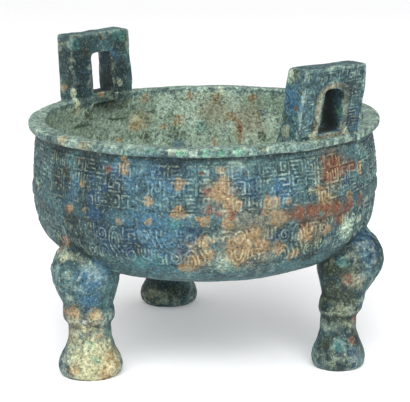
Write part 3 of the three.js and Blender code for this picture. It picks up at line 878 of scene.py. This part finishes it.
def nose_ridge(name, leg):
    """The straight nose that runs from the bowl's wall down the front of the knee."""
    levels = np.linspace(NOSE["from"], NOSE["to"], NOSE["rows"])
    slim, flat = leg_section(leg, levels)
    knee = np.where(levels < LEG_TOP, leg_half_width(levels) * slim * flat, 0)
    wall = wall_radius(levels) - leg["knee"][1]
    front = np.maximum(knee, wall) + NOSE["proud"] * np.sin(math.pi * np.linspace(*NOSE_FADE, NOSE["rows"]))
    points = []
    for side, depth in NOSE_SECTION:
        bevel = NOSE["bevel"] if abs(side) == depth == 1 else 0
        out = front - NOSE["root"] + (NOSE["root"] - bevel) * depth
        points.append(leg_points(leg, levels, out, side * NOSE["half_width"]))
    count = len(NOSE_SECTION)
    first, last = list(range(count)), (len(levels) - 1) * count
    faces = [*grid_faces(len(levels), count, True), first[::-1], [last + j for j in first]]
    return outwards(mesh_object(name, np.stack(points, 1).reshape(-1, 3), faces))


# Handles
def handle_place(handle, across, up, out):
    """Stands points given across, up and out of a handle's face at its place on the rim."""
    angle = math.radians(handle["angle"] + handle["twist"])
    centre = polar(handle["angle"], handle["radius"])
    rise = np.maximum((up - RIM_TOP) / (HANDLE_TOP - RIM_TOP), 0)
    thinning = 1 + (handle["top_thickness"] / handle["base_thickness"] - 1) * rise
    away = out * thinning + handle["lean"] * rise
    x = centre[0] + away * math.cos(angle) - across * math.sin(angle)
    y = centre[1] + away * math.sin(angle) + across * math.cos(angle)
    return np.stack((x, y, up), -1)


def loop_distance(handle, across, up, base):
    """Distance outside the loop's outline, which has straight sides, rounded top corners and a base."""
    corner = handle["loop_corner"]
    side = np.abs(across) - (LOOP["width"] / 2 - corner)
    top = up - (LOOP["to"] - corner)
    rounded = np.hypot(np.maximum(side, 0), np.maximum(top, 0)) - corner
    return np.maximum(np.where((side > 0) | (top > 0), rounded, -corner), base - up)


def handle_strokes():
    """Hooks and coils beside and above a handle's loop, in millimetres across and up."""
    strokes = []
    for left, bottom, layout in HANDLE_CELLS:
        cells = cell_strokes(layout, HANDLE_CELL, HANDLE_CELL)
        strokes += [[(left + x, bottom + y) for x, y in stroke] for stroke in cells]
    return strokes


def handle_relief(handle, across, up):
    """Height above the sunk panel's ground on a handle's outer face, from 0 to 1."""
    outside = loop_distance(handle, across, up, -math.inf)
    loop_frame = 1 - smooth(LOOP_FRAME - FRAME_SLOPE, LOOP_FRAME + FRAME_SLOPE, outside)
    return np.maximum(loop_frame, ridges(across, up, handle_strokes(), PANEL_LINE, PANEL_LINE / 2))


def handle_solid(name, handle, sizes):
    """One upright handle without its opening, as a closed slab whose outer face carries relief."""
    rows, columns = HANDLE_GRID
    rise, side = np.meshgrid(np.linspace(0, 1, rows), np.linspace(-1, 1, columns), indexing="ij")
    width = (handle["base_width"] + (handle["top_width"] - handle["base_width"]) * rise) / 2
    across = side * width
    over = np.maximum(np.abs(across) - (width - HANDLE_CORNER), 0)
    drop = HANDLE_CORNER - np.sqrt(np.maximum(HANDLE_CORNER**2 - over**2, 0))
    up = HANDLE_ROOT + rise * (HANDLE_TOP - drop * smooth(ROUNDED_FROM, 1, rise) - HANDLE_ROOT)
    edge = np.minimum(width - np.abs(across), HANDLE_TOP - up)
    bevel = HANDLE_BEVEL - np.sqrt(np.maximum(HANDLE_BEVEL**2 - np.maximum(HANDLE_BEVEL - edge, 0) ** 2, 0))
    sunk = smooth(PANEL_BORDER - PANEL_SLOPE, PANEL_BORDER + PANEL_SLOPE, edge) * GROUND_DEPTH
    relief = handle_relief(handle, across, up) * (sizes.relief_height / MM * PANEL_RELIEF)
    relief *= smooth(PANEL_BORDER, PANEL_BORDER + PANEL_FADE, edge)
    front = handle_place(handle, across, up, relief - bevel - sunk)
    back = handle_place(handle, across, up, bevel - handle["base_thickness"])
    count = rows * columns
    faces = grid_faces(rows, columns, False)
    faces += [[v + count for v in reversed(quad)] for quad in grid_faces(rows, columns, False)]
    numbers = np.arange(count).reshape(rows, columns)
    border = np.concatenate((numbers[0], numbers[1:, -1], numbers[-1, -2::-1], numbers[-2:0:-1, 0]))
    points = [front.reshape(-1, 3), back.reshape(-1, 3)]
    rings = [border.tolist()]
    for k in range(1, HANDLE_LAYERS):
        points.append(points[0][border] + (points[1][border] - points[0][border]) * k / HANDLE_LAYERS)
        rings.append(list(range(2 * count + (k - 1) * len(border), 2 * count + k * len(border))))
    rings.append((border + count).tolist())
    return outwards(mesh_object(name, np.vstack(points), faces + strip_faces(rings)))


def loop_solid(handle):
    """The handle's opening, as a solid to cut away."""
    corner, half = handle["loop_corner"], LOOP["width"] / 2
    outline = [(-half, LOOP["from"]), (half, LOOP["from"])]
    outline += quarter(half - corner, LOOP["to"] - corner, corner, corner)
    outline += quarter(corner - half, LOOP["to"] - corner, -corner, corner)[::-1]
    across, up = dense(outline).T
    back = -handle["base_thickness"] - LOOP_OVERSHOOT
    inner = handle_place(handle, across * handle["loop_taper"], up, back)
    return prism("loop", inner, handle_place(handle, across, up, LOOP_OVERSHOOT), LOOP_STEPS)


def lap_tab(handle, side):
    """A tab by which a handle laps down inside the mouth, thinning to the bowl's wall."""
    inner = -handle["base_thickness"] - LAP["proud"]
    root = LAP["root"] - handle["radius"]
    foot = RIM_TOP - LAP["foot"]
    low = RIM_TOP - LAP["depth"]
    wall = MOUTH_RADIUS - handle["radius"]
    top = RIM_TOP + LAP["above"]
    outline = [(inner, top), (inner, foot)]
    for t in (0.25, 0.5, 0.75, 1):
        outline.append((inner + (wall - inner) * t ** LAP["curve"], foot + (low - foot) * t))
    out, up = dense([*outline, (root - 1, low), (root, top)]).T
    middle = side * LAP["spacing"] / 2
    first, second = (handle_place(handle, middle + end * LAP["width"] / 2, up, out) for end in (-1, 1))
    return prism("lap", first, second, LAP["steps"])


# Finish of the casting
def vertex_values(mesh, name):
    """One vector for each vertex: its place ("co") or its normal."""
    values = np.empty(len(mesh.vertices) * 3)
    mesh.vertices.foreach_get(name, values)
    return values.reshape(-1, 3)


def relaxed(mesh, points, rounds):
    """The points after each has moved to the mean of its neighbours a number of times."""
    edges = np.empty(len(mesh.edges) * 2, dtype=np.int64)
    mesh.edges.foreach_get("vertices", edges)
    first, second = edges.reshape(-1, 2).T
    short = np.linalg.norm(points[first] - points[second], axis=1) < SHORT_EDGE
    first, second = first[short], second[short]
    count = np.bincount(np.concatenate((first, second)), minlength=len(points))[:, None]
    for _ in range(rounds):
        total = np.zeros_like(points)
        for axis in range(3):
            total[:, axis] += np.bincount(first, points[second, axis], len(points))
            total[:, axis] += np.bincount(second, points[first, axis], len(points))
        points = np.where(count > 2, total / np.maximum(count, 1), points)
    return points


def field(points, size, shift):
    """Smooth seeded noise from about -1 to 1 at points, with lumps of a size."""
    offset = Vector((shift, shift / 2, -shift))
    return np.array([noise.noise(Vector(p) / size + offset) for p in points])


def uneven(mesh, points, normals, sizes):
    """Points as corrosion leaves a cast surface: relief worn in places, and the surface in low waves."""
    angle = np.arctan2(points[:, 1], points[:, 0]) - math.radians(WORN_SIDE)
    chance = field(points, WEAR_PATCH, WEAR_SHIFT) + WORN_SIDE_SHARE * np.cos(angle)
    worn = smooth(*WEAR_EDGE, chance) * WEAR
    points = points + (relaxed(mesh, points, WEAR_ROUNDS) - points) * worn[:, None]
    moved = sum(share * field(points, size, shift) for size, share, shift in WAVES)
    moved *= sizes.unevenness / MM * smooth(*STILL_FOOT, points[:, 2])
    return points + normals * moved[:, None]


def lumps(points, normals, surface):
    """How far each point moves out under the lumps of corrosion."""
    total = np.zeros(len(points))
    for x, y, size, height in LUMPS:
        centre, facing = seen_place(surface, x, y)
        near = np.linalg.norm(points - centre, axis=1) / (size * PIXEL)
        share = (1 - smooth(*LUMP_EDGE, near)) * (normals @ facing > LUMP_FACING)
        total = np.maximum(total, height * share)
    return normals * total[:, None]


def finish_surface(piece, sizes):
    """Roughens the casting, thins its mesh, keeps it in the solid's box and stores its patina with its
    painted light and shade.
    """
    mesh = piece.data
    points, normals = vertex_values(mesh, "co") / MM, vertex_values(mesh, "normal")
    surface = BVHTree.FromPolygons(points.tolist(), [tuple(face.vertices) for face in mesh.polygons])
    moved = uneven(mesh, points, normals, sizes) + lumps(points, normals, surface)
    flat = points[:, 2] < FLAT_FOOT
    moved[flat, 2] = points[flat, 2]
    mesh.vertices.foreach_set("co", (moved * MM).ravel())
    thin = piece.modifiers.new("thin", "DECIMATE")
    thin.ratio = min(1, sizes.faces / len(triangles(mesh)))
    thin.use_collapse_triangulate = True
    baked(piece)
    low, high = (np.array(corner) for corner in CAD_BOX)
    margin = np.array((BOX_MARGIN, BOX_MARGIN, 0)) * MM
    kept = np.clip(vertex_values(piece.data, "co"), low + margin, high - margin)
    piece.data.vertices.foreach_set("co", kept.ravel())
    piece.data.shade_smooth()
    store_patina(piece.data, surface)
    return piece


# Patina, painted light and painted shade
def patch_field(points, centres, sizes, soft):
    """How deep points lie in any of the patches: 0.5 at an edge, falling over half a patch's size."""
    total = np.zeros(len(points))
    for centre, size in zip(centres, sizes):
        distance = np.linalg.norm(points - centre, axis=1) / size
        total = np.maximum(total, np.exp(-distance**2) if soft else np.clip(PATCH_REACH - distance, 0, 1))
    return total


def seen_patches(places, surface):
    """Centres and sizes in millimetres of the patches at the photograph's places."""
    found = [(seen_place(surface, x, y)[0], size * PIXEL) for x, y, size in places]
    return np.array([centre for centre, size in found]), [size for centre, size in found]


def hidden_faces(mesh):
    """Centres of the faces that the camera doesn't see, and each one's share of their area."""
    count = len(mesh.polygons)
    centres, normals, areas = np.empty(count * 3), np.empty(count * 3), np.empty(count)
    mesh.polygons.foreach_get("center", centres)
    mesh.polygons.foreach_get("normal", normals)
    mesh.polygons.foreach_get("area", areas)
    centres = centres.reshape(-1, 3) / MM
    away = normals.reshape(-1, 3) @ np.array(view_axes()[2]) < AWAY
    away |= in_bowl(centres) & (centres[:, 2] < INSIDE_SEEN[0])
    return centres[away], areas[away] / areas[away].sum()


def hidden_patches(seen_sizes, faces, chance):
    """Centres and sizes of patches in keeping on the sides that face away from the camera."""
    centres, shares = faces
    count = round(len(seen_sizes) * HIDDEN_SHARE)
    sizes = np.minimum(chance.choice(seen_sizes, count), HIDDEN_LARGEST)
    return centres[chance.choice(len(centres), count, p=shares)], sizes


def in_bowl(points):
    """Whether each point lies on the bowl's inside."""
    height = points[:, 2]
    radius = np.hypot(points[:, 0], points[:, 1])
    low = BOTTOM_HEIGHT + WALL / 2
    return (radius < wall_radius(height) - WALL / 2) & (height > low) & (height < RIM_TOP - LIP_THICKNESS)


def rim_crust_and_painted_light(points):
    """The rim painted pale, as its crust and as a painted highlight, paler on its top as a painted highlight,
    and the bowl's inside painted lighter as painted light.
    """
    height = points[:, 2]
    under = RIM_TOP - LIP_THICKNESS
    rim = smooth(0, RIM_FADE["below"], height - under)
    rim *= 1 - smooth(0, RIM_FADE["above"], height - RIM_TOP)
    top = smooth(*RIM_FADE["top"], height - RIM_TOP)
    return rim * (RIM_CRUST_AND_PAINTED_HIGHLIGHT + RIM_TOP_PAINTED_HIGHLIGHT * top) + in_bowl(points) * INSIDE_PAINTED_LIGHT


def handle_distance(handle, points):
    """How far points lie outside the loop's outline, and how far out from the handle's face."""
    angle = math.radians(handle["angle"] + handle["twist"])
    place = points[:, :2] - polar(handle["angle"], handle["radius"])
    out = place @ np.array((math.cos(angle), math.sin(angle)))
    along = place @ np.array((-math.sin(angle), math.cos(angle)))
    return loop_distance(handle, along, points[:, 2], LOOP["from"] - LOOP_BASE_GAP), out


def painted_loop_shade_places(points):
    """Painted shade in the handles' openings, darkest in the middle of their thickness."""
    total = np.zeros(len(points))
    for handle in HANDLES.values():
        distance, out = handle_distance(handle, points)
        depth = np.abs(out + handle["base_thickness"] / 2) / handle["base_thickness"]
        share = (distance < LOOP_SHADE_REACH) * (1 - smooth(*LOOP_SHADE_EDGE, depth))
        total = np.maximum(total, share * handle["loop_painted_shade"])
    return total


def earth_places(points):
    """The raised frames round the handles' loops."""
    total = np.zeros(len(points))
    for handle in HANDLES.values():
        distance, out = handle_distance(handle, points)
        near = (out > FRAME_OUT[0]) & (out < FRAME_OUT[1])
        near &= (points[:, 2] > RIM_TOP) & (distance > FRAME_GAP)
        total = np.maximum(total, near * (1 - smooth(LOOP_FRAME - FRAME_FADE, LOOP_FRAME, distance)))
    return total


def painted_lip_shade_places(points):
    """Painted shade in the crevice under the lip."""
    height = points[:, 2]
    under = RIM_TOP - LIP_THICKNESS
    radius = np.hypot(points[:, 0], points[:, 1])
    crevice = smooth(*PAINTED_LIP_SHADE["below"], height - under) * (height - under < PAINTED_LIP_SHADE["above"])
    return PAINTED_LIP_SHADE["dark"] * crevice * (radius > NECK_RADIUS - 1)


# Fields from the form: the rim's crust with its painted highlight and painted light inside the bowl, earth on
# the loop frames, painted shade under the lip and in the handles' openings
FORM_FIELDS = {"light": rim_crust_and_painted_light, "earth": earth_places, "dark": painted_lip_shade_places, "painted_loop_shade": painted_loop_shade_places}


def store_patina(mesh, surface):
    """Stores how much of each kind of patina, painted light and painted shade lies on each vertex, and how
    far it stands out or in.
    """
    points, normals = vertex_values(mesh, "co") / MM, vertex_values(mesh, "normal")
    chance = np.random.default_rng(PATINA_SEED)
    faces = hidden_faces(mesh)
    warp = np.stack([field(points, WARP_SIZE, shift) for shift in WARP_SHIFTS], -1) * PATCH_WARP
    facing = normals @ np.array(view_axes()[2])
    covered = in_bowl(points) * (1 - smooth(*INSIDE_SEEN, points[:, 2]))
    seen = smooth(*SEEN_FACING, facing) * (1 - covered)
    hidden = np.maximum(1 - smooth(*HIDDEN_FACING, facing), covered)
    for name, places in {**PATCHES, **WASHES}.items():
        centres, sizes = seen_patches(places, surface)
        soft = name in WASHES
        values = patch_field(points + warp, centres, sizes, soft) * seen
        more_centres, more_sizes = hidden_patches(sizes, faces, chance)
        values = np.maximum(values, patch_field(points + warp, more_centres, more_sizes, soft) * hidden)
        if name in FORM_FIELDS:
            values = np.maximum(values, FORM_FIELDS[name](points))
        store(mesh, name, values)
    # How far each point stands out or in, which the material turns into a painted highlight on raised lines
    # and painted shade in sunk places
    near = relaxed(mesh, points, RELIEF_ROUNDS)
    proud = ((points - 2 * near + relaxed(mesh, near, RELIEF_ROUNDS)) * normals).sum(1)
    store(mesh, "raised", smooth(*RAISED_CRUST_AND_HIGHLIGHT, proud))
    store(mesh, "sunk", smooth(*SUNK_PAINTED_SHADE, -proud))


def store(mesh, name, values):
    """Stores one number for each vertex of a mesh."""
    layer = mesh.attributes.new(name, "FLOAT", "POINT")
    layer.data.foreach_set("value", values.astype(np.float32))


def bronze_material(colours):
    """Patinated bronze: layers of corrosion products over each other, with fine grain, and painted light and
    shade.
    """
    material = bpy.data.materials.new("bronze")
    material.use_nodes = True
    material.node_tree.nodes.clear()
    nodes = Wiring(material.node_tree)
    place = nodes.make("ShaderNodeTexCoord", {}, {}, "Object")
    clouds = [nodes.cloud(place, *values) for values in CLOUDS.values()]
    wide, middle, small, grain, crumbs, dots, stains = clouds
    body = nodes.step(wide + middle, *SETS_IN["body"])
    colour = nodes.mix(body, shade(colours.deep), shade(colours.body))
    light = nodes.step(middle + small, *SETS_IN["light"]) * SHARE["light"]
    colour = nodes.mix(light, colour, shade(colours.light))
    broken = (middle - MEAN) * WASH_NOISE["middle"] + (small - MEAN) * WASH_NOISE["small"] + 1
    # Washes, among them painted light inside the bowl and on the rim's top, and painted shade under the lip
    for name, strength in WASH_STRENGTH.items():
        share = nodes.step(nodes.attribute(name) * broken, *SETS_IN["wash"]) * strength
        colour = nodes.mix(share, colour, shade(getattr(colours, name)))
    stained = nodes.step(stains, *SETS_IN["stains"]) * SHARE["stains"]
    colour = nodes.mix(stained, colour, shade(colours.olive))
    gaps = nodes.step(small, *SETS_IN["gaps"]) * SHARE["gaps"]
    for number, (name, strength) in enumerate(PATCH_STRENGTH.items()):
        edge = nodes.cloud(place, EDGE_CLOUD["size"], EDGE_CLOUD["seed"] + number, EDGE_CLOUD["detail"])
        depth = nodes.attribute(name) * ((edge - MEAN) * EDGE_CLOUD["noise"] + 1)
        layer = nodes.mix(gaps, shade(getattr(colours, name)), colour)
        colour = nodes.mix(nodes.step(depth, *SETS_IN["patch"]) * strength, colour, layer)
    crusted = nodes.step(crumbs, *SETS_IN["crumbs"]) * SHARE["crumbs"]
    colour = nodes.mix(crusted, colour, shade(colours.light))
    raised, sunk = nodes.attribute("raised"), nodes.attribute("sunk")
    worn = nodes.step(middle + grain * SHARE["worn_grain"], *SETS_IN["worn"])
    colour = nodes.mix(raised * (worn * SHARE["worn"] + SHARE["raised"]), colour, shade(colours.pale))
    colour = nodes.make("ShaderNodeGamma", {}, {"Color": colour, "Gamma": GAMMA})
    speckle = (small - MEAN) * SPECKLE["small"] + (dots - MEAN) * SPECKLE["dots"]
    speckle += (grain - MEAN) * SPECKLE["grain"]
    # Painted highlight on raised lines and painted shade in sunk places
    brightness = speckle + SPECKLE["mean"] + raised * SPECKLE["raised"] - sunk * SPECKLE["sunk"]
    colour = nodes.mix(1.0, colour, brightness.largest(SPECKLE["least"]), "MULTIPLY")
    # Painted shade: near black in the handles' openings
    colour = nodes.mix(nodes.attribute("painted_loop_shade") * LOOP_SHADE_STRENGTH, colour, shade(colours.painted_loop_shade))
    height = small * BUMP["small"] + grain * BUMP["grain"] + middle * BUMP["middle"]
    bump = {"Strength": BUMP["strength"], "Distance": BUMP["height"] * MM, "Height": height}
    surface = nodes.make("ShaderNodeBsdfPrincipled", {}, {
        "Base Color": colour,
        "Roughness": middle * ROUGHNESS["middle"] + grain * ROUGHNESS["grain"] + ROUGHNESS["least"],
        "Metallic": 0.0,
        "Specular IOR Level": SPECULAR,
        "Normal": nodes.make("ShaderNodeBump", {}, bump, "Normal"),
    })
    nodes.make("ShaderNodeOutputMaterial", {}, {"Surface": surface}, None)
    return material


class DingSizes(bpy.types.PropertyGroup):
    """Sizes of the relief and of the surface."""

    relief_height: FloatProperty(
        name="Relief height", description="Height of the raised lines", default=0.0009, unit="LENGTH"
    )
    line_width: FloatProperty(
        name="Line width", description="Width of a raised line's top", default=0.0011, unit="LENGTH"
    )
    unevenness: FloatProperty(
        name="Unevenness", description="How far corrosion moves the surface", default=0.0006, unit="LENGTH"
    )
    faces: IntProperty(name="Faces", description="Triangles of the finished casting", default=190000)


def linear(value):
    """A colour's share of light, from its value from 0 to 255 on a screen."""
    value /= 255
    return value / 12.92 if value <= 0.04045 else ((value + 0.055) / 1.055) ** 2.4


def shade(colour):
    """A colour as an opaque value for a node's socket."""
    return (*colour, 1.0)


def tint(name, description, red, green, blue):
    """A property for a colour, with its default as seen on a screen."""
    default = (linear(red), linear(green), linear(blue))
    return FloatVectorProperty(
        name=name, description=description, default=default, subtype="COLOR", min=0, max=1
    )


class DingColours(bpy.types.PropertyGroup):
    """Colours of the patina, and of the painted light and shade."""

    body: tint("Body", "Grey teal that covers most of the bronze", 66, 98, 102)
    deep: tint("Deep", "Dark teal between the paler parts", 40, 68, 76)
    # Also painted on the rim's top as a highlight and inside the bowl as painted light
    light: tint("Light", "Pale grey green, as on the rim", 158, 176, 156)
    # Painted light: a pale that lightens the bowl's inside
    painted_inside_light: tint("Painted inside light", "Pale bloom inside the bowl", 176, 194, 178)
    cream: tint("Cream", "Cream crust, as on the front hoof", 182, 176, 136)
    pale: tint("Pale", "Crust on raised lines", 164, 170, 144)
    azure: tint("Azure", "Deep blue crust", 26, 66, 92)
    blue: tint("Blue", "Wash of blue", 54, 94, 116)
    teal: tint("Teal", "Blue green crust", 62, 112, 110)
    green: tint("Green", "Bright malachite spots", 80, 134, 108)
    ochre: tint("Ochre", "Earth left on the bronze", 144, 118, 82)
    earth: tint("Earth", "Wash of tan earth", 128, 112, 84)
    brown: tint("Brown", "Wash of red brown", 98, 60, 39)
    rust: tint("Rust", "Red brown patches", 106, 64, 44)
    olive: tint("Olive", "Dark olive patches", 52, 57, 35)
    # Also used for the painted shade under the lip
    dark: tint("Dark", "Wash of dark teal", 18, 39, 43)
    # Painted shade put in the handles' openings
    painted_loop_shade: tint("Painted loop shade", "Near black in the openings of the handles", 12, 17, 15)


class DING_OT_vessel(bpy.types.Operator):
    """Makes the casting: bowl, legs and handles in one"""

    bl_idname = "ding.vessel"
    bl_label = "Vessel"

    def execute(self, context):
        sizes = context.scene.ding_sizes
        bronze = bronze_material(context.scene.ding_colours)
        vessel = bowl_block(sizes)
        ring = vessel.modifiers.new("ring", "NODES")
        ring.node_group = ring_tree()
        set_input(ring, "Count", BLOCK_COUNT)
        set_input(ring, "Join Distance", JOIN_DISTANCE)
        set_input(ring, "Material", bronze)
        baked(vessel)
        for name, leg in LEGS.items():
            combine(vessel, "UNION", leg_solid("leg_" + name, leg, sizes))
            combine(vessel, "UNION", nose_ridge("nose_" + name, leg))
        combine(vessel, "DIFFERENCE", bowl_cavity())
        for name, handle in HANDLES.items():
            slab = handle_solid("handle_" + name, handle, sizes)
            combine(slab, "DIFFERENCE", loop_solid(handle))
            combine(vessel, "UNION", slab)
            for side in (-1, 1):
                combine(vessel, "UNION", lap_tab(handle, side))
        finish_surface(vessel, sizes)
        vessel.data.materials.clear()
        vessel.data.materials.append(bronze)
        vessel.data.polygons.foreach_set("material_index", [0] * len(vessel.data.polygons))
        vessel.name = vessel.data.name = "ding_casting"
        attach(vessel, "root")
        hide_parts("ding_vessel")
        return {"FINISHED"}


# Stage
def direction(azimuth, elevation):
    """The direction from the vessel towards a viewpoint, from angles in degrees."""
    a, e = math.radians(azimuth), math.radians(elevation)
    return Vector((math.sin(a) * math.cos(e), -math.cos(a) * math.cos(e), math.sin(e)))


def view_axes():
    """The camera's right, up and backward directions."""
    a, r = math.radians(AZIMUTH), math.radians(ROLL)
    back = direction(AZIMUTH, ELEVATION)
    level = Vector((math.cos(a), math.sin(a), 0))
    right = level * math.cos(r) + back.cross(level) * math.sin(r)
    return right, back.cross(right), back


def seen_place(surface, x, y):
    """The place in millimetres, and the surface's direction there, that the camera sees at a pixel."""
    right, up, back = view_axes()
    focal = LENS / SENSOR * PICTURE[0]
    across = (x - PICTURE[0] / 2) / focal
    down = (y - PICTURE[1] / 2 - SHIFT_Y * PICTURE[0]) / focal
    place, facing, _, _ = surface.ray_cast((AIM + back * DISTANCE) / MM, right * across - up * down - back)
    if place is None:
        raise RuntimeError(f"no surface at pixel {x}, {y}")
    return np.array(place), np.array(facing)


def photo_camera():
    """The camera at the photograph's viewing angle."""
    data = bpy.data.cameras.new("camera")
    data.sensor_width = SENSOR
    data.lens = LENS
    data.shift_y = SHIFT_Y
    camera = bpy.data.objects.new("camera", data)
    axes = view_axes()
    turn = Matrix(axes).transposed().to_4x4()
    camera.matrix_world = Matrix.Translation(AIM + axes[2] * DISTANCE) @ turn
    bpy.context.scene.collection.objects.link(camera)
    bpy.context.scene.camera = camera


def soft_light(name, place):
    """A square soft light that faces the vessel from a place beside the camera."""
    data = bpy.data.lights.new(name, "AREA")
    data.size, data.energy = LIGHT_SIZE, place["power"]
    light = bpy.data.objects.new(name, data)
    back = direction(AZIMUTH + place["turn"], place["elevation"])
    light.location = AIM + back * LIGHT_DISTANCE
    light.rotation_mode = "QUATERNION"
    light.rotation_quaternion = back.to_track_quat("Z", "Y")
    bpy.context.scene.collection.objects.link(light)


class DING_OT_stage(bpy.types.Operator):
    """Makes the camera, the soft lights and the pale floor"""

    bl_idname = "ding.stage"
    bl_label = "Stage"

    def execute(self, context):
        photo_camera()
        for name, light in LIGHTS.items():
            soft_light(name, light)
        world = bpy.data.worlds.new("studio")
        world.use_nodes = True
        sky = world.node_tree.nodes["Background"].inputs
        sky["Color"].default_value = (1, 1, 1, 1)
        sky["Strength"].default_value = WORLD_STRENGTH
        context.scene.world = world
        context.scene.view_settings.view_transform = "Standard"
        corners = ((-1, -1), (1, -1), (1, 1), (-1, 1))
        points = [(x * FLOOR_REACH, y * FLOOR_REACH, -FLOOR_DROP) for x, y in corners]
        floor = mesh_object("floor", points, [(0, 1, 2, 3)])
        pale = bpy.data.materials.new("pale_floor")
        pale.use_nodes = True
        surface = pale.node_tree.nodes["Principled BSDF"].inputs
        surface["Base Color"].default_value = FLOOR_COLOUR
        surface["Roughness"].default_value = FLOOR_ROUGHNESS
        surface["Emission Strength"].default_value = FLOOR_GLOW
        floor.data.materials.append(pale)
        return {"FINISHED"}


class DING_PT_panel(bpy.types.Panel):
    """The vessel's sizes and operators"""

    bl_label = "Ding vessel"
    bl_idname = "DING_PT_panel"
    bl_space_type = "VIEW_3D"
    bl_region_type = "UI"
    bl_category = "Ding"

    def draw(self, context):
        scene = context.scene
        for group, values in ((DingSizes, scene.ding_sizes), (DingColours, scene.ding_colours)):
            for name in group.__annotations__:
                self.layout.prop(values, name)
        for operator in (DING_OT_vessel, DING_OT_stage):
            self.layout.operator(operator.bl_idname)


CLASSES = (DingSizes, DingColours, DING_OT_vessel, DING_OT_stage, DING_PT_panel)


def register():
    for item in CLASSES:
        bpy.utils.register_class(item)
    bpy.types.Scene.ding_sizes = PointerProperty(type=DingSizes)
    bpy.types.Scene.ding_colours = PointerProperty(type=DingColours)


def unregister():
    del bpy.types.Scene.ding_colours
    del bpy.types.Scene.ding_sizes
    for item in reversed(CLASSES):
        bpy.utils.unregister_class(item)


def main():
    """Registers the settings, and makes the stage and the vessel."""
    register()
    bpy.ops.ding.stage()
    bpy.ops.ding.vessel()


if __name__ == "__main__":
    main()
